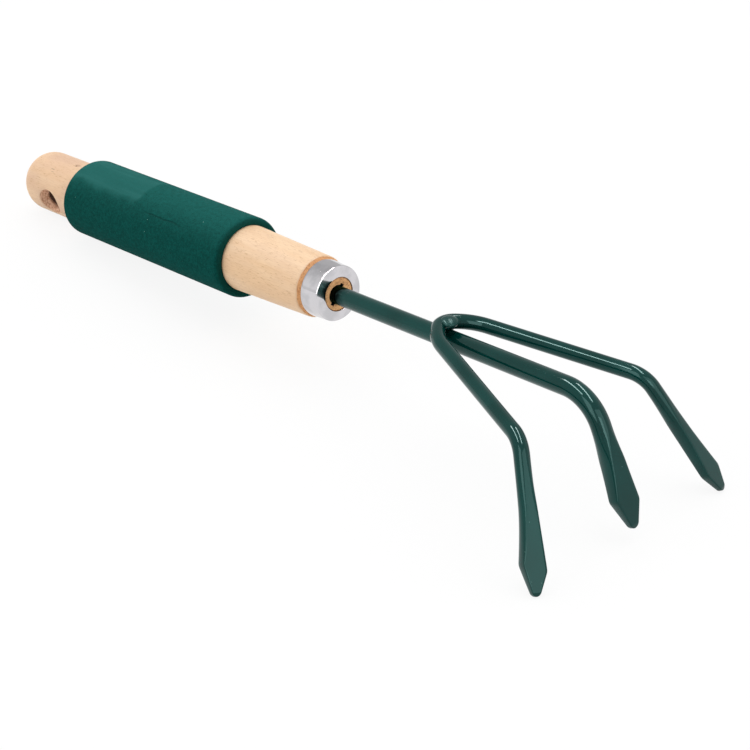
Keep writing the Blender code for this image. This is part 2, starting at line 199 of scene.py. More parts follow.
class Nodes:
    """Adds nodes to one tree, each by one call."""

    def __init__(self, tree: bpy.types.NodeTree) -> None:
        """Starts on a node tree."""
        self.tree = tree

    def node(self, kind: str, settings: dict | None = None, inputs: dict | None = None,
             output: int | str = 0) -> Field:
        """Adds a node and fills it in.

        Args:
            kind: The node's type.
            settings: Its properties, set before its sockets.
            inputs: Values or fields for its sockets, by name or number.
            output: The socket that is returned.

        Returns:
            The node's output as a field.
        """
        made = self.tree.nodes.new(kind)
        for name, value in (settings or {}).items():
            setattr(made, name, value)
        for key, value in (inputs or {}).items():
            if isinstance(value, Field):
                self.tree.links.new(value.socket, made.inputs[key])
            else:
                made.inputs[key].default_value = value
        return Field(self, made.outputs[output])

    def mix(self, share: "Field | float", first: "Field | tuple", second: "Field | tuple") -> Field:
        """A colour between two."""
        return self.node("ShaderNodeMix", {"data_type": "RGBA"}, {0: share, 6: first, 7: second}, 2)

    def place(self) -> Field:
        """Where a point lies, in the row's frame."""
        return self.node("ShaderNodeTexCoord", output="Object")

    def tool_place(self) -> Field:
        """Where a point lies in the tool's axes."""
        inputs = {0: self.place(), 1: TOOL_PLACE, 2: Euler((0.0, -NOSE_UP, 0.0))}
        return self.node("ShaderNodeMapping", {"vector_type": "TEXTURE"}, inputs)

    def parts(self, vector: Field) -> tuple[Field, Field, Field]:
        """A vector's three components."""
        outputs = self.node("ShaderNodeSeparateXYZ", inputs={0: vector}).socket.node.outputs
        return Field(self, outputs[0]), Field(self, outputs[1]), Field(self, outputs[2])

    def vector(self, operation: str, first: "Field | Vector", second: "Field | Vector",
               output: int = 0) -> Field:
        """One Vector Math node on two vectors."""
        return self.node("ShaderNodeVectorMath", {"operation": operation}, {0: first, 1: second}, output)

    def noise(self, place: Field, noise: Noise) -> Field:
        """Noise from 0 to 1, with its own fineness along each axis.

        Args:
            place: The point's place.
            noise: How the noise is made.

        Returns:
            The noise's value.
        """
        stretched = self.vector("MULTIPLY", place, Vector(noise.per_metre))
        moved = self.vector("ADD", stretched, SHIFT_WAY * noise.shift)
        inputs = {"Vector": moved, "Scale": 1.0, "Detail": noise.detail, "Roughness": noise.roughness}
        return self.node("ShaderNodeTexNoise", inputs=inputs)

    def specks(self, place: Field, per_metre: float) -> Field:
        """Distance from the nearest of some scattered points, as a share of their spacing."""
        return self.node("ShaderNodeTexVoronoi", inputs={"Vector": place, "Scale": per_metre})

    def seen(self) -> Field:
        """Whether a ray shows the background: from the camera, in a mirror or through glass."""
        camera, mirror, glass = (self.node("ShaderNodeLightPath", output=f"Is {name} Ray")
                                 for name in ("Camera", "Glossy", "Transmission"))
        return camera.maximum(mirror).maximum(glass)

    def bump(self, height: Field, depth: float) -> Field:
        """A normal from a height field from 0 to 1, where 1 stands that many metres above 0."""
        return self.node("ShaderNodeBump", inputs={"Distance": depth, "Height": height})


@dataclass(frozen=True)
class Finish:
    """One material: how it is called and how its shader is filled in."""

    name: str = "plain"
    roughness: float = 0.5
    metallic: float = 0.0
    specular: float = 0.5
    specular_tint: tuple = (1.0, 1.0, 1.0, 1.0)

    def material(self) -> bpy.types.Material:
        """Builds the material.

        Returns:
            A new material with a Principled shader.
        """
        made = bpy.data.materials.new(self.name)
        made.use_nodes = True
        shader = made.node_tree.nodes["Principled BSDF"]
        constants = {"Roughness": self.roughness, "Metallic": self.metallic,
                     "Specular IOR Level": self.specular, "Specular Tint": self.specular_tint}
        for socket, value in constants.items():
            shader.inputs[socket].default_value = value
        nodes = Nodes(made.node_tree)
        for socket, value in self.fields(nodes).items():
            made.node_tree.links.new(value.socket, shader.inputs[socket])
        return made

    def fields(self, nodes: Nodes) -> dict[str, Field]:
        """What varies over the surface, by the shader's socket."""
        raise NotImplementedError


@dataclass(frozen=True)
class VarnishedWood(Finish):
    """Pale close-grained hardwood: fine flecks along the handle, brown end grain and a bored hole."""

    name: str = "varnished_wood"
    roughness: float = 0.46
    specular: float = 0.35
    bands: Noise = Noise((14.0, 160.0, 160.0), detail=3.0)
    pale: tuple = srgb(246, 213, 176)
    warm: tuple = srgb(240, 202, 160)
    blushes: Noise = Noise((40.0, 90.0, 90.0), detail=1.0, shift=5.0)
    rosy: tuple = srgb(225, 188, 158)
    rosy_edges: tuple[float, float] = (-0.171, -0.185)
    fibres: Noise = Noise((170.0, 2100.0, 2100.0), shift=3.1)
    flecks: Noise = Noise((420.0, 3200.0, 3200.0), detail=1.0, shift=7.7)
    fleck: tuple = srgb(203, 158, 114)
    knot: tuple = srgb(122, 74, 50)
    marks: tuple = (((-0.1898, -0.0020, 0.0143), (0.0009, 0.0005), 0.9),
                    ((-0.1893, -0.0012, 0.0143), (0.0022, 0.0012), 0.35),
                    ((-0.2016, -0.0081, 0.0119), (0.0020, 0.0003), 0.5),
                    ((-0.2005, -0.0092, 0.0111), (0.0014, 0.0002), 0.45),
                    ((-0.2171, -0.0047, 0.0137), (0.0011, 0.0003), 0.55))
    wander: Noise = Noise(even(300.0), detail=1.0, shift=2.0)
    wander_reach: float = 0.0005
    shoulder_edges: tuple[float, float] = (-0.0109, -0.0106)
    nose_edges: tuple[float, float] = (-0.0035, -0.0030)
    grain: Noise = Noise(even(1100.0), detail=3.0, roughness=0.7, shift=9.0)
    end_grain: tuple = srgb(226, 164, 108)
    end_grain_dark: tuple = srgb(170, 104, 60)
    # Painted light: the nose's end grain is painted paler, to light its forward face, which sits in shade.
    nose: tuple = srgb(255, 196, 134)
    # Painted shade: near black on the walls of the bore and of the wings' slot round the rod.
    gap: tuple = srgb(14, 10, 6)
    rod_shade_edges: tuple[float, float] = (0.0056, 0.0052)
    rod_shade_front: tuple[float, float] = (0.0003, -0.0001)
    rod_shade_rear: tuple[float, float] = (-0.064, -0.063)
    hole_edges: tuple[float, float] = (0.0092, 0.0084)
    skin_edges: tuple[float, float] = (0.01432, 0.0140)
    hole_depth_shade_edges: tuple[float, float] = (0.0112, 0.0100)
    torn: Noise = Noise((900.0, 1900.0, 900.0), detail=3.0, shift=12.0)
    bored: tuple = srgb(240, 196, 164)
    bored_dark: tuple = srgb(192, 138, 106)
    # Painted shade deep in the hanging hole.
    hole_depth_shade: tuple = srgb(46, 17, 4)
    relief_depth: float = 0.00006

    def fields(self, nodes: Nodes) -> dict[str, Field]:
        """Colour, roughness and relief of the wood.

        Args:
            nodes: Where the nodes go.

        Returns:
            The fields for the shader's sockets.
        """
        place = nodes.tool_place()
        x, y, z = nodes.parts(place)
        fibres = nodes.noise(place, self.fibres)
        flecks = nodes.noise(place, self.flecks).step(0.63, 0.70)
        grain = nodes.noise(place, self.grain)
        torn = nodes.noise(place, self.torn)
        cut = self._cut_across(nodes, place, x)
        bored = self._bored(x, y, z)
        colour = self._turned_face(nodes, place, x, fibres, flecks)
        colour = nodes.mix(cut, colour, self._end_grain(nodes, x, grain))
        # Painted shade in the bore and the wings' slot.
        colour = nodes.mix(self._shade_round_rod(x, y, z), colour, self.gap)
        # The hanging hole's walls, with painted shade deep inside.
        colour = nodes.mix(bored, colour, self._inside(nodes, y, z, torn))
        relief = fibres * 0.4 + flecks * -0.5 + grain * (cut * 1.5) + torn * (bored * 6.0)
        return {"Base Color": colour, "Roughness": self.roughness + 0.1 * fibres + 0.3 * cut.maximum(bored),
                "Normal": nodes.bump(relief, self.relief_depth)}

    def _turned_face(self, nodes: Nodes, place: Field, x: Field, fibres: Field, flecks: Field) -> Field:
        """The colour along the grain, with its bands and its marks.

        Args:
            nodes: Where the nodes go.
            place: The point's place.
            x: Its place along the handle.
            fibres: The fibres' noise.
            flecks: Where the flecks are.

        Returns:
            The colour, rosier at the rear.
        """
        colour = nodes.mix(nodes.noise(place, self.bands).step(0.35, 0.65), self.warm, self.pale)
        blush = nodes.noise(place, self.blushes).step(0.42, 0.7)
        rear = x.step(*self.rosy_edges)
        colour = nodes.mix(blush * 0.25 + rear * (0.35 + 0.4 * blush), colour, self.rosy)
        colour = nodes.mix(fibres.step(0.35, 0.75) * 0.22, colour, self.fleck)
        colour = nodes.mix(flecks * 0.7, colour, self.fleck)
        for centre, (along, aside), strength in self.marks:
            offset = nodes.vector("SUBTRACT", place, Vector(centre))
            scaled = nodes.vector("MULTIPLY", offset, Vector((1.0 / along, 1.0 / aside, 1.0 / aside)))
            spot = nodes.vector("LENGTH", scaled, Vector(), 1) + (fibres - 0.5) * 0.8
            colour = nodes.mix(spot.step(1.1, 0.4) * strength, colour, self.knot)
        return colour

    def _cut_across(self, nodes: Nodes, place: Field, x: Field) -> Field:
        """Where the lathe cut across the grain: the shoulder and the nose."""
        wander = nodes.noise(place, self.wander) - 0.5
        return (x + wander * self.wander_reach).step(*self.shoulder_edges)

    def _end_grain(self, nodes: Nodes, x: Field, grain: Field) -> Field:
        """The colour across the grain, painted paler on the nose as painted light for its forward face, which
        sits in shade.
        """
        nose_lit_grain = nodes.mix(x.step(*self.nose_edges), self.end_grain, self.nose)
        return nodes.mix(grain.step(0.46, 0.68) * 0.75, nose_lit_grain, self.end_grain_dark)

    def _shade_round_rod(self, x: Field, y: Field, z: Field) -> Field:
        """Painted shade: near black on the walls of the bore and of the wings' slot round the rod.

        Args:
            x: The point's place along the handle.
            y: Its place across.
            z: Its place above.

        Returns:
            1 where the shade is painted.
        """
        off_y, off_z = y - RODS_PLACE.y, z - RODS_PLACE.z
        outer, inner = self.rod_shade_edges
        near_rod = (off_y * off_y + off_z * off_z).step(outer ** 2, inner ** 2)
        return near_rod * x.step(*self.rod_shade_front) * x.step(*self.rod_shade_rear)

    def _bored(self, x: Field, y: Field, z: Field) -> Field:
        """The walls of the hanging hole and its countersinks.

        Args:
            x: The point's place along the handle.
            y: Its place across.
            z: Its place above.

        Returns:
            1 in the hole.
        """
        along = x - HOLE_X
        across = y * math.cos(HOLE_TURN) + z * math.sin(HOLE_TURN)
        hole_outer, hole_inner = self.hole_edges
        skin_outer, skin_inner = self.skin_edges
        near_hole = (along * along + across * across).step(hole_outer ** 2, hole_inner ** 2)
        return near_hole * (y * y + z * z).step(skin_outer ** 2, skin_inner ** 2)

    def _inside(self, nodes: Nodes, y: Field, z: Field, torn: Field) -> Field:
        """The colour in the hanging hole.

        Args:
            nodes: Where the nodes go.
            y: The point's place across the handle.
            z: Its place above.
            torn: The torn grain's noise.

        Returns:
            The colour, with painted shade deep in the hole.
        """
        outer, inner = self.hole_depth_shade_edges
        # Painted shade away from the hole's mouths.
        deep = (y * y + z * z).step(outer ** 2, inner ** 2)
        walls = nodes.mix(torn.step(0.35, 0.65), self.bored, self.bored_dark)
        return nodes.mix(deep * 0.9, walls, self.hole_depth_shade)


@dataclass(frozen=True)
class FoamRubber(Finish):
    """Closed-cell foam rubber: matte green skin, fine pores and a few pale specks."""

    name: str = "foam_rubber"
    roughness: float = 0.85
    specular: float = 0.04
    grain: Noise = Noise(even(1500.0), detail=3.0, shift=4.0)
    mottle: Noise = Noise(even(620.0), detail=3.0, roughness=0.7, shift=11.0)
    light: tuple = srgb(6, 80, 74)
    deep: tuple = srgb(1, 63, 57)
    pores: Noise = Noise(even(2600.0), detail=1.0, shift=8.0)
    pore: tuple = srgb(1, 50, 45)
    wander: Noise = Noise(even(110.0), detail=1.0, shift=2.0)
    # Painted sheen: the top of the sleeve is painted paler, where the overhead light falls.
    top_sheen: tuple = srgb(27, 100, 94)
    top_sheen_turns: tuple[float, float] = (math.radians(70.0), math.radians(15.0))
    streaks: Noise = Noise((25.0, 260.0, 260.0), shift=6.0)
    worn: tuple = srgb(41, 106, 101)
    worn_front: tuple[float, float] = (-0.1239, -0.1269)
    worn_far_turns: tuple[float, float] = (-0.4793, -0.1793)
    worn_near_turns: tuple[float, float] = (0.8258, 0.5258)
    speck: tuple = srgb(120, 172, 160)
    specks_per_metre: float = 150.0
    speck_edges: tuple[float, float] = (0.035, 0.021)
    # Painted shade on the sleeve's front end.
    rim: tuple = srgb(8, 58, 51)
    front_shade_edges: tuple[float, float] = (-0.0610, -0.0599)
    nick_turn: float = math.radians(48.5)
    nick_halves: tuple[float, float] = (0.022, 0.008)
    nick_rear: tuple[float, float] = (-0.1210, -0.1110)
    nick_front: tuple[float, float] = (-0.0830, -0.0970)
    relief_depth: float = 0.00012

    def fields(self, nodes: Nodes) -> dict[str, Field]:
        """Colour and relief of the foam.

        Args:
            nodes: Where the nodes go.

        Returns:
            The fields for the shader's sockets.
        """
        place = nodes.tool_place()
        x, y, z = nodes.parts(place)
        turn = (0.0 - y).turn(z)
        wander = nodes.noise(place, self.wander) - 0.5
        grain = nodes.noise(place, self.grain)
        mottle = nodes.noise(place, self.mottle)
        pores = nodes.noise(place, self.pores).step(0.58, 0.72)
        worn = self._worn(x + wander * 0.006, turn + wander * 0.4)
        nick = self._nick(x, turn + wander * 0.12)
        colour = nodes.mix((0.5 * grain + 0.5 * mottle).step(0.36, 0.64), self.deep, self.light)
        # Painted sheen on the top of the sleeve.
        top_sheen = (abs(turn) + wander * 0.3).step(*self.top_sheen_turns)
        colour = nodes.mix(top_sheen * (0.25 + 0.7 * mottle), colour, self.top_sheen)
        colour = nodes.mix(pores * (0.65 - 0.45 * worn), colour, self.pore)
        streaks = nodes.noise(place, self.streaks).step(0.35, 0.65)
        colour = nodes.mix(worn * (0.55 + 0.4 * streaks), colour, self.worn)
        # Painted shade in the crease.
        colour = nodes.mix(nick * 0.5, colour, self.pore)
        # Painted shade on the front end.
        colour = nodes.mix(x.step(*self.front_shade_edges) * 0.6, colour, self.rim)
        specks = nodes.specks(place, self.specks_per_metre).step(*self.speck_edges)
        colour = nodes.mix(specks, colour, self.speck)
        relief = (grain + mottle) * (1.0 - 0.6 * worn) - pores * 0.8 - nick * 2.0
        return {"Base Color": colour, "Normal": nodes.bump(relief, self.relief_depth)}

    def _worn(self, x: Field, turn: Field) -> Field:
        """The patch on top of the rear half that hands and packing have rubbed smooth and pale."""
        return x.step(*self.worn_front) * turn.step(*self.worn_near_turns) * turn.step(*self.worn_far_turns)

    def _nick(self, x: Field, turn: Field) -> Field:
        """A thin crease pressed into the side, which is also painted darker as painted shade."""
        line = abs(turn - self.nick_turn).step(*self.nick_halves)
        return line * x.step(*self.nick_rear) * x.step(*self.nick_front)


@dataclass(frozen=True)
class BrightPlate(Finish):
    """Bright plated steel, with the faint waves of pressed sheet."""

    name: str = "bright_plate"
    roughness: float = 0.03
    metallic: float = 1.0
    clouds: Noise = Noise(even(160.0), detail=3.0, shift=2.0)
    steel: tuple = srgb(209, 207, 210)
    haze: tuple = srgb(194, 193, 196)
    brushed: Noise = Noise((5000.0, 300.0, 300.0), shift=6.0)
    waves: Noise = Noise((90.0, 130.0, 130.0), detail=1.0, shift=1.0)
    relief_depth: float = 0.00012

    def fields(self, nodes: Nodes) -> dict[str, Field]:
        """Colour, roughness and relief of the plate.

        Args:
            nodes: Where the nodes go.

        Returns:
            The fields for the shader's sockets.
        """
        place = nodes.tool_place()
        clouds = nodes.noise(place, self.clouds)
        brushed = nodes.noise(place, self.brushed)
        relief = nodes.noise(place, self.waves) + brushed * 0.04
        return {"Base Color": nodes.mix(clouds.step(0.4, 0.65), self.steel, self.haze),
                "Roughness": self.roughness + 0.05 * clouds + 0.03 * brushed,
                "Normal": nodes.bump(relief, self.relief_depth)}


@dataclass(frozen=True)
class GlossEnamel(Finish):
    """Thick glossy enamel on steel, with a faint flow in its skin."""

    name: str = "gloss_enamel"
    specular: float = 0.55
    specular_tint: tuple = (0.33, 0.60, 0.57, 1.0)
    roughness: float = 0.05
    flow: Noise = Noise(even(60.0), detail=1.0)
    green: tuple = srgb(2, 58, 54)
    deep: tuple = srgb(1, 49, 45)
    peel: Noise = Noise(even(420.0), detail=1.0, shift=3.0)
    # Painted shade: near black, with a dark painted reflection, on the rod near the handle's mouth.
    mouth_shade: tuple = srgb(8, 12, 10)
    mouth_shade_edges: tuple[float, float] = (0.0077, 0.0037)
    speck: tuple = srgb(120, 160, 150)
    specks_per_metre: float = 240.0
    speck_edges: tuple[float, float] = (0.030, 0.021)
    relief_depth: float = 0.00003

    def fields(self, nodes: Nodes) -> dict[str, Field]:
        """Colour, roughness and relief of the enamel, with painted shade and a dark painted reflection on the
        rod near the handle's mouth.

        Args:
            nodes: Where the nodes go.

        Returns:
            The fields for the shader's sockets.
        """
        place = nodes.tool_place()
        x, _, _ = nodes.parts(place)
        flow = nodes.noise(place, self.flow)
        peel = nodes.noise(place, self.peel)
        dust = nodes.specks(place, self.specks_per_metre).step(*self.speck_edges)
        # Painted shade near the handle's mouth; through Metallic it also darkens the reflection.
        mouth_shade = (x + (peel - 0.5) * 0.003).step(*self.mouth_shade_edges)
        colour = nodes.mix(dust, nodes.mix(flow.step(0.3, 0.7), self.deep, self.green), self.speck)
        relief = flow + peel * 0.06 + dust * 0.3
        return {"Base Color": nodes.mix(mouth_shade, colour, self.mouth_shade),
                "Roughness": self.roughness + 0.04 * flow + dust * 0.3,
                "Metallic": mouth_shade * 0.9, "Normal": nodes.bump(relief, self.relief_depth)}


@dataclass(frozen=True)
class Station:
    """One place along a rod: where its centre line is, its way and its width axis."""

    place: Vector
    way: Vector
    across: Vector


@dataclass(frozen=True)
class HammeredBar:
    """A round section that was hammered flat at the front and back, so that its sides still bulge.

    A side's bulge is the half depth that it would reach if it ran on round, uncut by the flats.
    """

    near: float
    far: float
    depth: float
    near_bulge: float
    far_bulge: float
    softness: float = 0.0
    least_softness: float = 1e-6
    past_crease: float = 0.12
    side_turn: float = math.radians(72.0)

    def outline(self, sides: int) -> list[tuple[float, float]]:
        """The section's outline, with most of its points on the sides and the creases.

        Args:
            sides: How many points it has, a multiple of 20.

        Returns:
            Points as (how far across the rod, how far through it).
        """
        near, far = self._crease(self.near_bulge), self._crease(self.far_bulge)
        on_side, on_flat = 2 * sides // 5, sides // 10
        runs = ((-far, far, on_side), (far, math.pi - near, on_flat),
                (math.pi - near, math.pi + near, on_side), (math.pi + near, 2.0 * math.pi - far, on_flat))
        return [self._spot(start + (end - start) * (i + 0.5) / count)
                for start, end, count in runs for i in range(count)]

    def _crease(self, bulge: float) -> float:
        """The turn from a side's middle to just past its crease."""
        return min(math.asin(min(self.depth / bulge, 1.0)) + self.past_crease, self.side_turn)

    def _spot(self, turn: float) -> tuple[float, float]:
        """One point of the outline.

        Args:
            turn: Its turn from the far side's middle.

        Returns:
            How far across the rod and how far through it the point lies.
        """
        wide, bulge = (self.far, self.far_bulge) if math.cos(turn) >= 0.0 else (self.near, self.near_bulge)
        raw = bulge * abs(math.sin(turn))
        through = min(raw, self.depth)
        if self.softness > self.least_softness:
            through -= max(self.softness - abs(raw - self.depth), 0.0) ** 2 / (4.0 * self.softness)
        return wide * math.cos(turn), math.copysign(through, math.sin(turn))


def solid(name: str, shape: bmesh.types.BMesh) -> bpy.types.Object:
    """Turns a finished bmesh into an object of the scene.

    Args:
        name: The object's name.
        shape: Its mesh, which is freed.

    Returns:
        The new object, at the origin.
    """
    mesh = bpy.data.meshes.new(name)
    shape.to_mesh(mesh)
    shape.free()
    obj = bpy.data.objects.new(name, mesh)
    bpy.context.scene.collection.objects.link(obj)
    return obj


def place_mesh(name: str, shape: bmesh.types.BMesh, axes: Matrix, material: bpy.types.Material,
               slot: Slot) -> bpy.types.Object:
    """Turns a finished bmesh into a piece of the tool.

    Args:
        name: The piece's name.
        shape: Its mesh, which is freed.
        axes: The axes that it was drawn in.
        material: Its finish.
        slot: The record's slot for its finish. It is not used.

    Returns:
        The new object, at the origin, with its place in its mesh.
    """
    bmesh.ops.transform(shape, matrix=axes, verts=shape.verts)
    obj = solid(name, shape)
    obj.data.shade_smooth()
    obj.data.materials.append(material)
    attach(obj, "root")
    return obj


def wrapped_grid(rows: int, columns: int, place: Callable[[int, int], Vector]) -> bmesh.types.BMesh:
    """Rolls a flat grid into a tube and closes its ends.

    Args:
        rows: How many rings the tube has.
        columns: How many sides it has.
        place: Gives the point for a ring's number and a side's number.

    Returns:
        A closed mesh with its faces pointing out.
    """
    shape = bmesh.new()
    bmesh.ops.create_grid(shape, x_segments=rows - 1, y_segments=columns, size=0.5)
    for vert in shape.verts:
        row = round((vert.co.x + 0.5) * (rows - 1))
        column = round((vert.co.y + 0.5) * columns)
        vert.co = place(row, column % columns)
    bmesh.ops.remove_doubles(shape, verts=shape.verts, dist=MERGE_DISTANCE)
    ends = [edge for edge in shape.edges if edge.is_boundary]
    if ends:
        bmesh.ops.holes_fill(shape, edges=ends, sides=0)
    bmesh.ops.recalc_face_normals(shape, faces=shape.faces)
    return shape


def turned(profile: Sequence[tuple[float, float]], steps: int, closed: bool = False) -> bmesh.types.BMesh:
    """Spins a profile about the tool's x axis.

    Args:
        profile: Points as (distance from the axis, place along it).
        steps: Sides in a full turn.
        closed: Whether the profile's last point joins its first.

    Returns:
        A mesh with its faces pointing out.
    """
    shape = bmesh.new()
    verts = [shape.verts.new((along, 0.0, across)) for across, along in profile]
    edges = [shape.edges.new(pair) for pair in zip(verts, verts[1:])]
    if closed:
        edges.append(shape.edges.new((verts[-1], verts[0])))
    bmesh.ops.spin(shape, geom=verts + edges, cent=(0.0, 0.0, 0.0), axis=(1.0, 0.0, 0.0),
                   angle=2.0 * math.pi, steps=steps, use_merge=True)
    bmesh.ops.remove_doubles(shape, verts=shape.verts, dist=MERGE_DISTANCE)
    bmesh.ops.recalc_face_normals(shape, faces=shape.faces)
    return shape


def arc(centre: tuple[float, float], radius: float, start: float, end: float,
        steps: int) -> list[tuple[float, float]]:
    """Points of an arc in a turned profile.

    Args:
        centre: Its centre, as (distance from the axis, place along it).
        radius: Its radius.
        start: Where it starts, in degrees from straight out.
        end: Where it ends.
        steps: How many steps it takes.

    Returns:
        Points as (distance from the axis, place along it).
    """
    turns = [math.radians(start + (end - start) * i / steps) for i in range(steps + 1)]
    return [(centre[0] + radius * math.cos(t), centre[1] + radius * math.sin(t)) for t in turns]


def dense(profile: Sequence[tuple[float, float]], spacing: float) -> list[tuple[float, float]]:
    """A profile with extra points on its straights.

    Args:
        profile: Points as (distance from the axis, place along it).
        spacing: The most that lies between two points.

    Returns:
        The profile with the extra points.
    """
    found = [profile[0]]
    for first, second in zip(profile, profile[1:]):
        count = max(1, math.ceil(math.dist(first, second) / spacing))
        found += [(first[0] + (second[0] - first[0]) * i / count, first[1] + (second[1] - first[1]) * i / count)
                  for i in range(1, count + 1)]
    return found


@dataclass(frozen=True)
class Flank:
    """One edge of a forged point: its shoulder, and how the flat grows out of the round rod above it.

    Distances are measured back from the tip. The flat's growth is a power of the way to the shoulder.
    """

    half_width: float
    shoulder: float
    spread_from: float
    flat_from: float
    flat_power: float
    spread_power: float = 1.5
    softness: float = 0.0005

    def reach(self, back: float, tip_radius: float, rod_radius: float) -> float:
        """How far the tine reaches to this side of its axis.

        Args:
            back: Distance back from the tip.
            tip_radius: The radius of the rounded tip.
            rod_radius: The radius of the rod that it was forged from.

        Returns:
            The half width there.
        """
        reach = math.hypot(self.shoulder - tip_radius, self.half_width)
        turn = math.atan2(self.half_width, self.shoulder - tip_radius) + math.acos(tip_radius / reach)
        touch_back = tip_radius + tip_radius * math.cos(turn)
        touch_width = tip_radius * math.sin(turn)
        if back <= touch_back:
            return math.sqrt(max(tip_radius ** 2 - (tip_radius - back) ** 2, 0.0))
        slope = (self.half_width - touch_width) / (self.shoulder - touch_back)
        edge = touch_width + slope * (back - touch_back)
        spread = max(self.spread_from - back, 0.0) / (self.spread_from - self.shoulder)
        body = rod_radius + (self.half_width - rod_radius) * spread ** self.spread_power
        gap = max(self.softness - abs(edge - body), 0.0) / self.softness
        return min(edge, body) - 0.25 * self.softness * gap * gap

    def forged(self, back: float, length: float) -> float:
        """How far the forging has gone.

        Args:
            back: Distance back from the tip.
            length: The tine's length from its bend to its tip.

        Returns:
            0 on the round rod to 1 at the shoulder.
        """
        along = (length - back) / (length - self.shoulder)
        share = min(max((along - self.flat_from) / (1.0 - self.flat_from), 0.0), 1.0)
        return share ** self.flat_power * smooth(0.0, 0.5, along)


@dataclass(frozen=True)
class ForgedPoint:
    """The flat arrow point of one tine."""

    near: Flank
    far: Flank
    tip_radius: float
    shoulder_thickness: float
    tip_thickness: float
    crease_softness: float = 0.0006
    squareness: float = 0.3
    tip_end_share: float = 0.35

    def half_depth(self, back: float, rod_radius: float, length: float) -> float:
        """Half the tine's thickness, at a distance back from its tip.

        Args:
            back: Distance back from the tip.
            rod_radius: The radius of the rod that it was forged from.
            length: The tine's length from its bend to its tip.

        Returns:
            Half the thickness, on one smooth curve from the tip through the shoulder to the round rod.
        """
        shoulder = 0.5 * (self.near.shoulder + self.far.shoulder)
        grown = (self.shoulder_thickness - self.tip_thickness) / (2.0 * rod_radius - self.tip_thickness)
        power = math.log(1.0 - grown) / math.log(1.0 - shoulder / length)
        share = 1.0 - (1.0 - min(back / length, 1.0)) ** power
        half = 0.5 * self.tip_thickness + (rod_radius - 0.5 * self.tip_thickness) * share
        return half * min(1.0, math.sqrt(self.tip_end_share + back / self.tip_radius))

    def section(self, back: float, rod_radius: float, length: float) -> HammeredBar:
        """The tine's section at a distance back from its tip.

        Args:
            back: Distance back from the tip.
            rod_radius: The radius of the rod that it was forged from.
            length: The tine's length from its bend to its tip.

        Returns:
            The section.
        """
        near_forged, far_forged = self.near.forged(back, length), self.far.forged(back, length)
        depth = self.half_depth(back, rod_radius, length)
        near = self.near.reach(back, self.tip_radius, rod_radius)
        far = self.far.reach(back, self.tip_radius, rod_radius)
        near_bulge = depth / (1.0 - (1.0 - self.squareness) * near_forged)
        far_bulge = depth / (1.0 - (1.0 - self.squareness) * far_forged)
        softness = min(self.crease_softness, 0.5 * depth) * min(4.0 * max(near_forged, far_forged), 1.0)
        return HammeredBar(near, far, depth, near_bulge, far_bulge, softness)


def bend(corner: Vector, before: Vector, after: Vector, radius: float,
         step: float) -> list[tuple[Vector, Vector]]:
    """The centre line of a bend.

    Args:
        corner: Where the two straights would meet.
        before: A point on the first.
        after: A point on the second.
        radius: The bend's radius.
        step: The most that one step turns.

    Returns:
        Pairs of place and way.
    """
    way_in = (corner - before).normalized()
    way_out = (after - corner).normalized()
    angle = way_in.angle(way_out)
    inward = (way_out - way_in * way_out.dot(way_in)).normalized()
    centre = corner - way_in * radius * math.tan(0.5 * angle) + inward * radius
    count = math.ceil(angle / step)
    found = []
    for i in range(count + 1):
        turn = angle * i / count
        place = centre - inward * radius * math.cos(turn) + way_in * radius * math.sin(turn)
        found.append((place, way_in * math.cos(turn) + inward * math.sin(turn)))
    return found


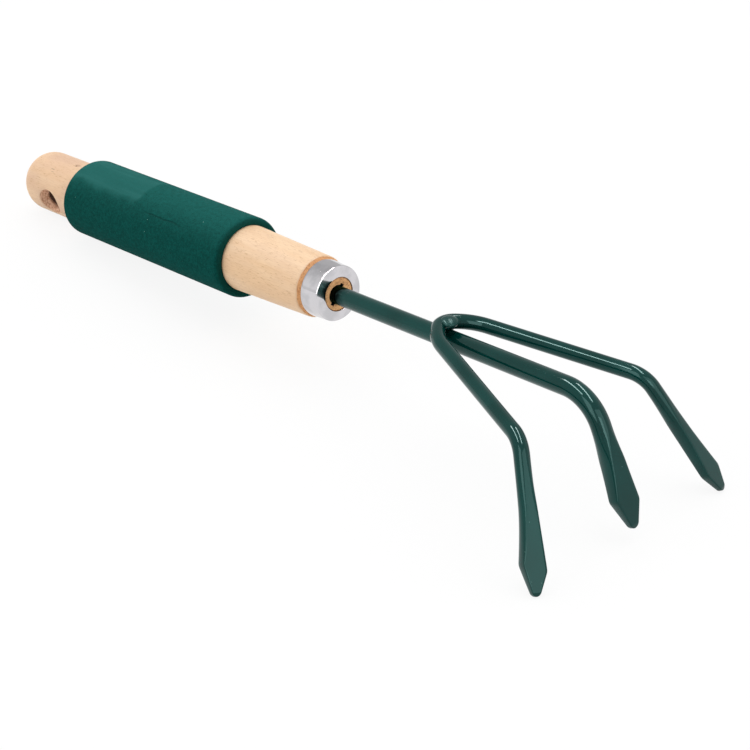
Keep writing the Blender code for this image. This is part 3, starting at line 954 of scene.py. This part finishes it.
@dataclass
class Rod:
    """What the shank and the fork share: round stock that ends in forged points."""

    radius: float = 0.0040
    bend_radius: float = 0.015
    sides: int = 40
    step: float = math.radians(3.0)
    straight_spacing: float = 0.004
    point_spacing: float = 0.0006
    tip_turns: int = 9
    tip_end_share: float = 0.01

    def ring(self, station: Station, section: HammeredBar) -> list[Vector]:
        """The points of a section at its station."""
        through = station.way.cross(station.across)
        return [station.place + station.across * a + through * t for a, t in section.outline(self.sides)]

    def swept(self, stations: Sequence[Station], sections: Sequence[HammeredBar]) -> bmesh.types.BMesh:
        """Sweeps sections along stations, turning each ring so that its sides line up with the last.

        Args:
            stations: Places from one end to the other.
            sections: A section for each.

        Returns:
            The rod's mesh, closed at its ends.
        """
        rings: list[list[Vector]] = []
        for station, section in zip(stations, sections):
            ring = self.ring(station, section)
            if rings:
                gaps = [sum((rings[-1][i] - ring[(i + k) % self.sides]).length for i in range(0, self.sides, 5))
                        for k in range(self.sides)]
                k = gaps.index(min(gaps))
                ring = ring[k:] + ring[:k]
            rings.append(ring)
        return wrapped_grid(len(stations), self.sides, lambda row, column: rings[row][column])

    def tine(self, start: Vector, tip: Vector, across: Vector,
             point: ForgedPoint) -> tuple[list[Station], list[HammeredBar]]:
        """One straight tine from the end of its bend to its tip.

        Args:
            start: Where the bend ends.
            tip: The tip.
            across: The point's width axis.
            point: How the point is forged.

        Returns:
            Its stations and sections.
        """
        way = (tip - start).normalized()
        length = (tip - start).length
        count = math.ceil((length - point.tip_radius) / self.point_spacing)
        backs = [length + (point.tip_radius - length) * i / count for i in range(1, count + 1)]
        backs += [point.tip_radius * (1.0 - math.sin(0.5 * math.pi * i / self.tip_turns))
                  for i in range(1, self.tip_turns)]
        backs.append(self.tip_end_share * point.tip_radius)
        stations = [Station(tip - way * back, way, across) for back in backs]
        return stations, [point.section(back, self.radius, length) for back in backs]

    def straight(self, start: Vector, end: Vector, across: Vector) -> list[Station]:
        """Stations between two points.

        Args:
            start: The first point.
            end: The last point.
            across: The width axis.

        Returns:
            Stations without one at either point.
        """
        way = (end - start).normalized()
        count = math.ceil((end - start).length / self.straight_spacing)
        return [Station(start + (end - start) * i / count, way, across) for i in range(1, count)]

    def carried(self, line: Sequence[tuple[Vector, Vector]], across: Vector,
                reference: Vector) -> list[Station]:
        """Stations on a curved line.

        Args:
            line: Pairs of place and way.
            across: The width axis where the line runs along the reference.
            reference: That way.

        Returns:
            Stations with their width axes turned along.
        """
        stations = []
        for place, way in line:
            turned_across = across.copy()
            turned_across.rotate(reference.rotation_difference(way))
            stations.append(Station(place, way, turned_across))
        return stations

    def run_to_tip(self, stations: list[Station], corner: Vector, tip: Vector, across: Vector,
                   reference: Vector, point: ForgedPoint) -> tuple[list[Station], list[HammeredBar]]:
        """Runs a rod on from its last station, round its bend and down its tine.

        Args:
            stations: The rod so far, all of it round.
            corner: Where the rod and its tine would meet.
            tip: The tine's tip.
            across: The width axis before and after the bend.
            reference: The way along which that axis is the width axis.
            point: How the tine is forged.

        Returns:
            The whole rod's stations and sections.
        """
        last = stations[-1].place
        turned_part = bend(corner, last, tip, self.bend_radius, self.step)
        stations = stations + self.straight(last, turned_part[0][0], across)
        stations += self.carried(turned_part, across, reference)
        round_bar = HammeredBar(*[self.radius] * 5)
        tine, forged = self.tine(turned_part[-1][0], tip, across, point)
        return stations + tine, [round_bar] * len(stations) + forged


@dataclass
class Shank(Rod):
    """The rod that runs from the handle's bore to the centre tine, with its tang's wings."""

    radius: float = 0.0040
    rear_x: float = -0.0617
    bend_x: float = 0.1445
    bend_radius: float = 0.018
    tip: Vector = field(default_factory=lambda: Vector((0.1640, 0.0008, -0.04935)))
    point: ForgedPoint = ForgedPoint(
        near=Flank(half_width=0.0062, shoulder=0.0124, spread_from=0.030, flat_from=-0.3, flat_power=0.9),
        far=Flank(half_width=0.0057, shoulder=0.0100, spread_from=0.032, flat_from=-0.3, flat_power=0.9),
        tip_radius=0.0023, shoulder_thickness=0.0045, tip_thickness=0.0022)
    wing_span: float = 0.0096
    wing_thickness: float = 0.0014
    wing_front_x: float = -0.0004
    wing_rear_x: float = -0.0095
    wing_bevel: float = 0.00025

    def build(self, enamel: bpy.types.Material) -> list[bpy.types.Object]:
        """Builds the shank and its wings.

        Args:
            enamel: Their finish.

        Returns:
            The new pieces.
        """
        start = [Station(Vector((self.rear_x, 0.0, 0.0)), ALONG_X, ALONG_Y)]
        corner = Vector((self.bend_x, 0.0, 0.0))
        shape = self.swept(*self.run_to_tip(start, corner, self.tip, ALONG_Y, ALONG_X, self.point))
        rod = place_mesh("enamelled_shank", shape, RODS_AXES, enamel, Slot.ENAMEL)
        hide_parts("shank_and_centre_tine")
        return [rod, self._wings(enamel)]

    def _wings(self, enamel: bpy.types.Material) -> bpy.types.Object:
        """The two wings that keep the tang from turning, as one plate through it.

        Args:
            enamel: Their finish.

        Returns:
            The new piece.
        """
        shape = bmesh.new()
        bmesh.ops.create_cube(shape, size=1.0)
        size = (self.wing_front_x - self.wing_rear_x, self.wing_span, self.wing_thickness)
        bmesh.ops.scale(shape, vec=size, verts=shape.verts)
        bmesh.ops.bevel(shape, geom=shape.edges, offset=self.wing_bevel, offset_type="OFFSET", segments=3,
                        profile=0.5, affect="EDGES", material=-1)
        bmesh.ops.rotate(shape, cent=(0.0, 0.0, 0.0), matrix=Matrix.Rotation(WING_TURN, 3, "X"),
                         verts=shape.verts)
        middle = Vector((0.5 * (self.wing_front_x + self.wing_rear_x), 0.0, 0.0))
        bmesh.ops.translate(shape, vec=middle, verts=shape.verts)
        return place_mesh("tang_wings", shape, RODS_AXES, enamel, Slot.ENAMEL)


@dataclass
class Fork(Rod):
    """The thinner rod folded round a heel into two arms, each bent down into an outer tine."""

    radius: float = 0.0031
    offset: float = -0.0005
    heel: Vector = field(default_factory=lambda: Vector((0.0664, 0.0, 0.00647)))
    heel_radius: float = 0.0067
    heel_turn: float = math.radians(36.9)
    flare_radius: float = 0.0235
    slope: float = -0.16
    bend_at: tuple[float, float] = (0.1414, 0.0336)
    bend_radius: float = 0.012
    tip: Vector = field(default_factory=lambda: Vector((0.1645, 0.0516, -0.05425)))
    near_point: ForgedPoint = ForgedPoint(
        near=Flank(half_width=0.0050, shoulder=0.0118, spread_from=0.032, flat_from=0.2, flat_power=1.5),
        far=Flank(half_width=0.0050, shoulder=0.0087, spread_from=0.040, flat_from=-0.1, flat_power=0.8),
        tip_radius=0.0020, shoulder_thickness=0.0042, tip_thickness=0.0020)
    far_point: ForgedPoint = ForgedPoint(
        near=Flank(half_width=0.0046, shoulder=0.0098, spread_from=0.032, flat_from=-0.1, flat_power=0.8),
        far=Flank(half_width=0.0048, shoulder=0.0091, spread_from=0.030, flat_from=0.2, flat_power=1.5),
        tip_radius=0.0020, shoulder_thickness=0.0036, tip_thickness=0.0019)

    def height(self, x: float) -> float:
        """Height of the centre line, which slopes down from the heel."""
        return self.heel.z + self.slope * (x - self.heel.x)

    def _on_arc(self, centre: tuple[float, float], radius: float, heading: float) -> tuple[Vector, Vector]:
        """A point of the arms' sloping plane, from an arc in the plan view.

        Args:
            centre: The arc's centre.
            radius: Its radius.
            heading: Which way it runs at the point.

        Returns:
            The point's place and way.
        """
        x, y = centre[0] - radius * math.sin(heading), centre[1] + radius * math.cos(heading)
        way = Vector((math.cos(heading), math.sin(heading), self.slope * math.cos(heading)))
        return Vector((x, y, self.height(x))), way.normalized()

    def heel_line(self) -> list[tuple[Vector, Vector]]:
        """The far arm's centre line from the heel's middle to where it runs straight.

        Returns:
            Pairs of place and way.
        """
        square = 0.5 * math.pi
        eased = square - self.heel_turn
        tight = (self.heel.x + self.heel_radius, 0.0)
        shift = self.flare_radius - self.heel_radius
        wide = (tight[0] + shift * math.sin(eased), tight[1] - shift * math.cos(eased))
        away = (self.bend_at[0] - wide[0], self.bend_at[1] - wide[1])
        straight = math.atan2(away[1], away[0]) - math.asin(self.flare_radius / math.hypot(*away))
        count = math.ceil(self.heel_turn / self.step)
        parts = [(tight, self.heel_radius, square - self.heel_turn * i / count) for i in range(count + 1)]
        count = math.ceil((eased - straight) / self.step)
        parts += [(wide, self.flare_radius, eased + (straight - eased) * i / count)
                  for i in range(1, count + 1)]
        return [self._on_arc(*part) for part in parts]

    def half(self, side: Side) -> tuple[list[Station], list[HammeredBar]]:
        """One half of the fork, from the heel to its tip.

        Args:
            side: Which half.

        Returns:
            Its stations and sections.
        """
        def on_side(vector: Vector) -> Vector:
            """The vector on that side."""
            return Vector((vector.x, side.value * vector.y, vector.z))

        heel = [(on_side(place), on_side(way)) for place, way in self.heel_line()]
        corner = on_side(Vector((*self.bend_at, self.height(self.bend_at[0]))))
        tip = on_side(self.tip)
        arm = heel[-1][1]
        across = arm.cross(tip - corner).normalized()
        across = across if across.y > 0.0 else -across
        point = self.near_point if side is Side.NEAR else self.far_point
        return self.run_to_tip(self.carried(heel, across, arm), corner, tip, across, arm, point)

    def build(self, enamel: bpy.types.Material) -> list[bpy.types.Object]:
        """Builds the fork.

        Args:
            enamel: Its finish.

        Returns:
            The new piece.
        """
        near, near_sections = self.half(Side.NEAR)
        far, far_sections = self.half(Side.FAR)
        near = [Station(s.place, -s.way, s.across) for s in near]
        stations = near[::-1] + far[1:]
        sections = near_sections[::-1] + far_sections[1:]
        shape = self.swept(stations, sections)
        bmesh.ops.translate(shape, vec=(0.0, self.offset, 0.0), verts=shape.verts)
        fork = place_mesh("enamelled_fork", shape, RODS_AXES, enamel, Slot.ENAMEL)
        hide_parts("outer_tine_fork")
        return [fork]


@dataclass(frozen=True)
class Bead:
    """One lump of weld metal, as a squashed ball in the rods' axes that leans about y."""

    name: str
    node: str
    centre: Vector
    half: Vector
    lean: float = 0.0
    segments: int = 64

    def build(self, enamel: bpy.types.Material) -> bpy.types.Object:
        """Builds the lump.

        Args:
            enamel: Its finish.

        Returns:
            The new piece.
        """
        shape = bmesh.new()
        bmesh.ops.create_uvsphere(shape, u_segments=self.segments, v_segments=self.segments // 2, radius=1.0)
        bmesh.ops.scale(shape, vec=self.half, verts=shape.verts)
        bmesh.ops.rotate(shape, cent=(0.0, 0.0, 0.0), matrix=Matrix.Rotation(self.lean, 3, "Y"),
                         verts=shape.verts)
        bmesh.ops.translate(shape, vec=self.centre, verts=shape.verts)
        piece = place_mesh(self.name, shape, RODS_AXES, enamel, Slot.ENAMEL)
        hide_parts(self.node)
        return piece


@dataclass
class Weld:
    """The weld metal under its enamel: a tab in the fork's crotch and a bead round its heel."""

    beads: tuple[Bead, ...] = (
        Bead("enamelled_tab", "crotch_weld", centre=Vector((0.0700, -0.0006, 0.0082)),
             half=Vector((0.0036, 0.0038, 0.0019)), lean=math.radians(12.0)),
        Bead("enamelled_heel_bead", "heel_weld", centre=Vector((0.0651, -0.0004, 0.0015)),
             half=Vector((0.0033, 0.0055, 0.0057))))

    def build(self, enamel: bpy.types.Material) -> list[bpy.types.Object]:
        """Builds the two lumps."""
        return [bead.build(enamel) for bead in self.beads]


@dataclass
class Handle:
    """The turned handle: spigot and nose, shoulder, body and domed end, with its bore and hanging hole."""

    dome_start: float = -0.2157
    dome_length: float = 0.0122
    dome_steps: int = 24
    rear_radius: float = 0.0144
    front_radius: float = 0.01487
    spacing: float = 0.002
    shoulder_x: float = -0.0109
    shoulder_radius: float = 0.0135
    softening: float = 0.0005
    chamfer_radius: float = 0.0124
    step_x: float = -0.0092
    step_radius: float = 0.0115
    spigot_front: float = -0.0005
    spigot_radius: float = 0.0110
    spigot_chamfer: float = 0.001
    nose_radius: float = 0.0072
    nose_front: float = 0.0004
    nose_rear: float = -0.0020
    nose_chamfer: float = 0.0003
    bore_radius: float = 0.0043
    bore_front: float = 0.004
    bore_rear: float = -0.062
    slot_size: tuple[float, float, float] = (0.0138, 0.0102, 0.0020)
    slot_x: float = -0.0029
    hole_radius: float = 0.0050
    hole_mouth: float = 0.0083
    hole_overrun: float = 0.004
    hole_softening: float = 0.0002
    body_steps: int = 160
    nose_steps: int = 96
    bore_steps: int = 64
    sharp_from: float = math.radians(32.0)

    def profile(self) -> list[tuple[float, float]]:
        """The body's outline.

        Returns:
            Points as (distance from the axis, place along it), from the spigot's front to the rear tip.
        """
        soft, chamfer = self.softening, self.spigot_chamfer
        points = [(0.0, self.spigot_front), (self.spigot_radius - chamfer, self.spigot_front),
                  (self.spigot_radius, self.spigot_front - chamfer), (self.step_radius, self.step_x),
                  (self.chamfer_radius, self.step_x)]
        points += arc((self.shoulder_radius - soft, self.shoulder_x - soft), soft, 60.0, 0.0, 4)
        points += dense([(self.shoulder_radius, self.shoulder_x - soft), (self.front_radius, FOAM_FRONT),
                         (self.rear_radius, FOAM_REAR), (self.rear_radius, self.dome_start)],
                        self.spacing)[1:]
        turns = [0.5 * math.pi * i / self.dome_steps for i in range(1, self.dome_steps)]
        points += [(self.rear_radius * math.cos(t), self.dome_start - self.dome_length * math.sin(t))
                   for t in turns]
        points.append((0.0, self.dome_start - self.dome_length))
        return points

    def build(self, wood: bpy.types.Material) -> list[bpy.types.Object]:
        """Builds the handle.

        Args:
            wood: Its finish.

        Returns:
            The new piece.
        """
        body = solid("turned_handle", turned(self.profile(), self.body_steps))
        operands = ((self._nose(), "UNION"), (self._bore(), "DIFFERENCE"), (self._slot(), "DIFFERENCE"),
                    (self._hole(), "DIFFERENCE"))
        for operand, operation in operands:
            self._apply(body, operand, operation)
        for vert in body.data.vertices:
            vert.co = TOOL_AXES @ vert.co
        body.data.materials.append(wood)
        body.data.shade_smooth()
        body.data.set_sharp_from_angle(angle=self.sharp_from)
        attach(body, "root")
        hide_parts("wooden_handle")
        return [body]

    @staticmethod
    def _apply(obj: bpy.types.Object, operand: bpy.types.Object, operation: str) -> None:
        """Joins or cuts an object with another.

        Args:
            obj: The object that stays.
            operand: The other, which is removed.
            operation: What is done with it.
        """
        modifier = obj.modifiers.new(operation, "BOOLEAN")
        modifier.operation = operation
        modifier.solver = "EXACT"
        modifier.object = operand
        graph = bpy.context.evaluated_depsgraph_get()
        result = bpy.data.meshes.new_from_object(obj.evaluated_get(graph))
        result.name = obj.name
        obj.modifiers.clear()
        obj.data = result
        bpy.data.objects.remove(operand)

    def _nose(self) -> bpy.types.Object:
        """The nose that stands in the ferrule's hole.

        Returns:
            A solid to join on.
        """
        radius, chamfer = self.nose_radius, self.nose_chamfer
        shape = turned([(0.0, self.nose_front), (radius - chamfer, self.nose_front),
                        (radius, self.nose_front - chamfer), (radius, self.nose_rear), (0.0, self.nose_rear)],
                       self.nose_steps)
        bmesh.ops.translate(shape, vec=NOSE_PLACE, verts=shape.verts)
        return solid("handle_nose", shape)

    def _bore(self) -> bpy.types.Object:
        """The bore that the tang was driven into.

        Returns:
            A solid to cut away.
        """
        shape = turned([(0.0, self.bore_front), (self.bore_radius, self.bore_front),
                        (self.bore_radius, self.bore_rear), (0.0, self.bore_rear)], self.bore_steps)
        bmesh.ops.translate(shape, vec=RODS_PLACE, verts=shape.verts)
        return solid("rod_bore", shape)

    def _slot(self) -> bpy.types.Object:
        """The slot that the tang's wings have cut.

        Returns:
            A solid to cut away.
        """
        shape = bmesh.new()
        bmesh.ops.create_cube(shape, size=1.0)
        bmesh.ops.scale(shape, vec=self.slot_size, verts=shape.verts)
        bmesh.ops.rotate(shape, cent=(0.0, 0.0, 0.0), matrix=Matrix.Rotation(WING_TURN, 3, "X"),
                         verts=shape.verts)
        bmesh.ops.translate(shape, vec=RODS_PLACE + ALONG_X * self.slot_x, verts=shape.verts)
        return solid("wing_slot", shape)

    def _hole(self) -> bpy.types.Object:
        """The hanging hole's drilled bore with a flared mouth at each end.

        Returns:
            A solid to cut away.
        """
        radius, soft = self.hole_radius, self.hole_softening
        waist = self.rear_radius - (self.hole_mouth - radius)
        reach = self.rear_radius + self.hole_overrun
        half = [(0.0, reach), (radius + reach - waist, reach), (radius + soft, waist + soft),
                (radius, waist - soft)]
        shape = turned(half + [(across, -along) for across, along in reversed(half)], self.nose_steps)
        turn = Matrix.Rotation(HOLE_TURN, 4, "X") @ Matrix.Rotation(math.radians(-90.0), 4, "Y")
        bmesh.ops.transform(shape, matrix=Matrix.Translation(ALONG_X * HOLE_X) @ turn, verts=shape.verts)
        return solid("hanging_hole", shape)


@dataclass
class FoamSleeve:
    """The foam sleeve, with soft outer corners and a rear end that was cut a little askew."""

    rear_radius: float = 0.01846
    front_radius: float = 0.01833
    edge: float = 0.0024
    inner_edge: float = 0.0006
    inner_front: float = 0.01490
    inner_rear: float = 0.01445
    spacing: float = 0.0025
    skew_run: float = 0.03
    skew: float = 0.0009
    skew_swing: float = 0.0012
    skew_turn: float = math.radians(35.0)
    steps: int = 144

    def build(self, foam: bpy.types.Material) -> list[bpy.types.Object]:
        """Builds the sleeve.

        Args:
            foam: Its finish.

        Returns:
            The new piece.
        """
        outer, inner = self.edge, self.inner_edge
        front = arc((self.front_radius - outer, FOAM_FRONT - outer), outer, 90.0, 0.0, 10)
        rear = arc((self.rear_radius - outer, FOAM_REAR + outer), outer, 0.0, -90.0, 10)
        profile = arc((self.inner_front + inner, FOAM_FRONT - inner), inner, 180.0, 90.0, 4)
        profile += front + dense([front[-1], rear[0]], self.spacing)[1:-1] + rear
        profile += arc((self.inner_rear + inner, FOAM_REAR + inner), inner, -90.0, -180.0, 4)
        shape = turned(profile, self.steps, closed=True)
        for vert in shape.verts:
            self._skew(vert)
        sleeve = place_mesh("foam_sleeve", shape, TOOL_AXES, foam, Slot.FOAM)
        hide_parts("foam_grip")
        return [sleeve]

    def _skew(self, vert: bmesh.types.BMVert) -> None:
        """Leans the rear end further forward at the top and far side.

        Args:
            vert: A point of the sleeve, which is moved.
        """
        angle = math.atan2(-vert.co.y, vert.co.z)
        lean = self.skew + self.skew_swing * math.cos(angle + self.skew_turn)
        near = min(max((FOAM_REAR + self.skew_run - vert.co.x) / self.skew_run, 0.0), 1.0)
        vert.co.x += lean * near * near


@dataclass
class Ferrule:
    """The pressed ferrule: a thin cup with a rounded front edge and a hole pierced off centre."""

    front_x: float = 0.0006
    rear_x: float = -0.0089
    rear_radius: float = 0.0126
    front_radius: float = 0.0121
    hole_radius: float = 0.0075
    wall: float = 0.0004
    edge: float = 0.0005
    lip: float = 0.0001
    spacing: float = 0.001
    steps: int = 144
    sharp_from: float = math.radians(50.0)

    def build(self, plate: bpy.types.Material) -> list[bpy.types.Object]:
        """Builds the ferrule.

        Args:
            plate: Its finish.

        Returns:
            The new piece.
        """
        lip = self.lip
        rim = (self.hole_radius + lip, self.front_x - lip)
        flat = (self.front_radius - self.edge, self.front_x - self.edge)
        profile = arc(rim, lip, 180.0, 90.0, 3)
        profile += [(self.hole_radius + self.spacing, self.front_x)]
        profile += arc(flat, self.edge, 90.0, 0.0, 14)
        profile += dense([profile[-1], (self.rear_radius, self.rear_x + lip)], self.spacing)[1:]
        profile += arc((self.rear_radius - lip, self.rear_x + lip), lip, 0.0, -90.0, 3)[1:]
        profile += [(self.rear_radius - self.wall, self.rear_x)]
        profile += arc(flat, self.edge - self.wall, 0.0, 90.0, 6)
        profile += [(self.hole_radius, self.front_x - self.wall)]
        shape = turned(profile, self.steps, closed=True)
        for vert in shape.verts:
            radius = math.hypot(vert.co.y, vert.co.z)
            if vert.co.x > self.front_x - 1.01 * self.wall and radius < flat[0]:
                share = smooth(0.0, 1.0, (flat[0] - radius) / (flat[0] - self.hole_radius - lip))
                vert.co += NOSE_PLACE * share
        cup = place_mesh("bright_ferrule", shape, TOOL_AXES, plate, Slot.CHROME)
        cup.data.set_sharp_from_angle(angle=self.sharp_from)
        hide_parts("ferrule")
        return [cup]


@dataclass(frozen=True)
class Panel:
    """A flat lamp beside the tool. Its angles are in degrees, seen from the tool; zero is towards -y."""

    name: str
    azimuth: float
    elevation: float
    width: float
    height: float
    distance: float
    radiance: float

    def way(self) -> Vector:
        """Which way it lies."""
        turn, rise = math.radians(self.azimuth), math.radians(self.elevation)
        return Vector((math.sin(turn) * math.cos(rise), -math.cos(turn) * math.cos(rise), math.sin(rise)))

    def level(self) -> Vector:
        """The level way that its width runs."""
        turn = math.radians(self.azimuth)
        return Vector((math.cos(turn), math.sin(turn), 0.0))

    def size(self) -> tuple[float, float]:
        """Its width and height in metres."""
        return (2.0 * self.distance * math.cos(math.radians(self.elevation))
                * math.tan(math.radians(0.5 * self.width)),
                2.0 * self.distance * math.tan(math.radians(0.5 * self.height)))


@dataclass
class Studio:
    """White floor, soft lights and the camera."""

    camera_place: Vector = field(default_factory=lambda: Vector((0.58771, -0.47456, 0.43105)))
    camera_turn: Euler = field(default_factory=lambda: Euler(
        (math.radians(59.422), math.radians(0.129), math.radians(48.345))))
    lens: float = 95.414
    sensor: float = 36.0
    clip: tuple[float, float] = (0.02, 50.0)
    floor_half: float = 6.0
    floor_grey: tuple = (0.8, 0.8, 0.8, 1.0)
    floor_roughness: float = 0.9
    floor_specular: float = 0.1
    floor_glow: float = 0.85
    floor_glow_strength: float = 1.03
    world_strength: float = 0.6
    lit_side: tuple = ((0.87, -0.5, 0.0), (-0.85, -0.05))
    far_side_strength: float = 0.6
    floor_end: tuple = ((-0.17, -0.98, 0.0), (0.35, 0.5))
    floor_end_rise: tuple[float, float] = (0.16, 0.1)
    floor_end_strength: float = 0.85
    camera_side: tuple = ((0.94, -0.34, 0.0), (0.2, 0.75))
    camera_side_strength: float = 0.3
    broad_lights: tuple = (("broad_light", 1.27, (-0.3, 0.3, 0.9)), ("fill_light", 1.15, (-0.54, -0.77, 0.34)),
                           ("right_light", 0.75, (0.77, 0.54, 0.34)))
    light_angle: float = math.radians(70.0)
    target: Vector = field(default_factory=lambda: Vector((0.14, 0.0, 0.045)))
    strip_width: float = 0.15
    strip_height: float = 1.6
    strip_radiance: float = 22.0
    strip_colour: tuple = (1.0, 0.86, 0.87)
    strip_turn: float = math.radians(-29.4)
    strips: tuple = ((-0.46, -0.72, 0.33), (0.28, -0.60, 0.42))
    panels: tuple = (
        Panel("left_panel", 17.0, 30.0, width=30.0, height=42.0, distance=1.5, radiance=3.0),
        Panel("right_panel", 84.0, 25.0, width=56.0, height=46.0, distance=1.6, radiance=1.7),
        Panel("right_window", 69.0, 21.0, width=21.0, height=22.0, distance=1.4, radiance=3.2),
        Panel("camera_flag", 41.0, 11.0, width=17.0, height=34.0, distance=1.3, radiance=0.15))

    def build(self) -> None:
        """Builds everything that isn't the tool."""
        self._camera()
        self._floor()
        self._world()
        self._lights()

    def _camera(self) -> None:
        """The camera, where the photograph was taken from."""
        data = bpy.data.cameras.new("camera")
        data.lens = self.lens
        data.sensor_width = self.sensor
        data.clip_start, data.clip_end = self.clip
        camera = bpy.data.objects.new("camera", data)
        bpy.context.scene.collection.objects.link(camera)
        camera.location = self.camera_place
        camera.rotation_euler = self.camera_turn
        bpy.context.scene.camera = camera

    def _floor(self) -> None:
        """A wide white floor, whose white shows to the camera through the soft shadow on it."""
        shape = bmesh.new()
        bmesh.ops.create_grid(shape, x_segments=1, y_segments=1, size=self.floor_half)
        floor = solid("floor", shape)
        material = bpy.data.materials.new("white_floor")
        material.use_nodes = True
        shader = material.node_tree.nodes["Principled BSDF"]
        shader.inputs["Base Color"].default_value = self.floor_grey
        shader.inputs["Roughness"].default_value = self.floor_roughness
        shader.inputs["Specular IOR Level"].default_value = self.floor_specular
        nodes = Nodes(material.node_tree)
        glow = nodes.node("ShaderNodeEmission",
                          inputs={"Color": (1.0, 1.0, 1.0, 1.0), "Strength": self.floor_glow_strength})
        mixed = nodes.node("ShaderNodeMixShader", inputs={0: nodes.seen() * self.floor_glow,
                                                          1: Field(nodes, shader.outputs[0]), 2: glow})
        output = material.node_tree.nodes["Material Output"]
        material.node_tree.links.new(mixed.socket, output.inputs["Surface"])
        floor.data.materials.append(material)

    def _world(self) -> None:
        """An even white surround. In mirrors its far side and the floor's end are dimmer."""
        world = bpy.data.worlds.new("white_surround")
        world.use_nodes = True
        bpy.context.scene.world = world
        nodes = Nodes(world.node_tree)
        shader = world.node_tree.nodes["Background"]
        mirrored = nodes.node("ShaderNodeLightPath", output="Is Glossy Ray")
        seen = nodes.seen()
        way = nodes.node("ShaderNodeTexCoord", output="Generated")
        _, _, up = nodes.parts(way)
        lit_side, floor_end, camera_side = (
            nodes.vector("DOT_PRODUCT", way, Vector(side), 1).step(*edges)
            for side, edges in (self.lit_side, self.floor_end, self.camera_side))
        floor_end = up.step(*self.floor_end_rise) * floor_end
        dim = 1.0 - (1.0 - self.far_side_strength) * (1.0 - lit_side)
        dim = dim * (1.0 - (1.0 - self.floor_end_strength) * floor_end)
        level = self.world_strength * (1.0 - (1.0 - self.camera_side_strength) * camera_side)
        strength = (level + seen * (1.0 - level)) * (1.0 - mirrored * (1.0 - dim))
        world.node_tree.links.new(strength.socket, shader.inputs["Strength"])
        shader.inputs["Color"].default_value = (1.0, 1.0, 1.0, 1.0)

    def _lights(self) -> None:
        """Three broad soft lights, and strips and panels that only shine in the gloss."""
        for name, strength, way in self.broad_lights:
            data = bpy.data.lights.new(name, "SUN")
            data.energy = strength
            data.angle = self.light_angle
            lamp = self._lamp(data)
            lamp.rotation_euler = Vector(way).to_track_quat("Z", "Y").to_euler()
            lamp.visible_glossy = False
        along = Vector((math.cos(self.strip_turn), math.sin(self.strip_turn), 0.0))
        across = Vector((-along.y, along.x, 0.0))
        for number, (shift, start, end) in enumerate(self.strips):
            way = Vector((0.0, 0.0, 1.0)) + across * shift + along * 0.5 * (start + end)
            size = (self.strip_height * (end - start), self.strip_height * self.strip_width)
            strip = self._mirrored_lamp(f"strip_{number}", way * self.strip_height, size, self.strip_radiance,
                                        along)
            strip.color = self.strip_colour
        for panel in self.panels:
            self._mirrored_lamp(panel.name, panel.way() * panel.distance, panel.size(), panel.radiance,
                                panel.level())

    def _mirrored_lamp(self, name: str, offset: Vector, size: tuple[float, float], radiance: float,
                       along: Vector) -> bpy.types.Light:
        """Adds a rectangular lamp that faces the target and only shows in the gloss.

        Args:
            name: Its name.
            offset: Its middle, seen from the target.
            size: Its length and its width.
            radiance: How bright its surface is, where 1 is white.
            along: Which way its length runs.

        Returns:
            The lamp's light.
        """
        data = bpy.data.lights.new(name, "AREA")
        data.shape = "RECTANGLE"
        data.size, data.size_y = size
        data.energy = radiance * math.pi * size[0] * size[1]
        lamp = self._lamp(data)
        back = offset.normalized()
        long_axis = (along - back * along.dot(back)).normalized()
        turn = Matrix((long_axis, back.cross(long_axis), back)).transposed()
        lamp.location = self.target + offset
        lamp.rotation_euler = turn.to_euler()
        lamp.visible_diffuse = False
        return data

    @staticmethod
    def _lamp(data: bpy.types.Light) -> bpy.types.Object:
        """Adds a lamp that the camera doesn't see.

        Args:
            data: Its light.

        Returns:
            The lamp.
        """
        lamp = bpy.data.objects.new(data.name, data)
        lamp.visible_camera = False
        bpy.context.scene.collection.objects.link(lamp)
        return lamp


def main() -> None:
    """Builds the tool and its studio, and reports each piece."""
    logging.basicConfig(level=logging.INFO, format="%(name)s: %(message)s")
    bpy.context.scene.view_settings.view_transform = "Standard"
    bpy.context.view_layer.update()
    wood = VarnishedWood().material()
    foam = FoamRubber().material()
    plate = BrightPlate().material()
    enamel = GlossEnamel().material()
    weld_enamel = GlossEnamel(name="weld_enamel", roughness=0.3).material()
    pieces = Handle().build(wood) + FoamSleeve().build(foam) + Ferrule().build(plate)
    pieces += Shank().build(enamel) + Fork().build(enamel) + Weld().build(weld_enamel)
    for piece in pieces:
        LOG.info("%s has %d faces", piece.name, len(piece.data.polygons))
    Studio().build()


if __name__ == "__main__":
    main()
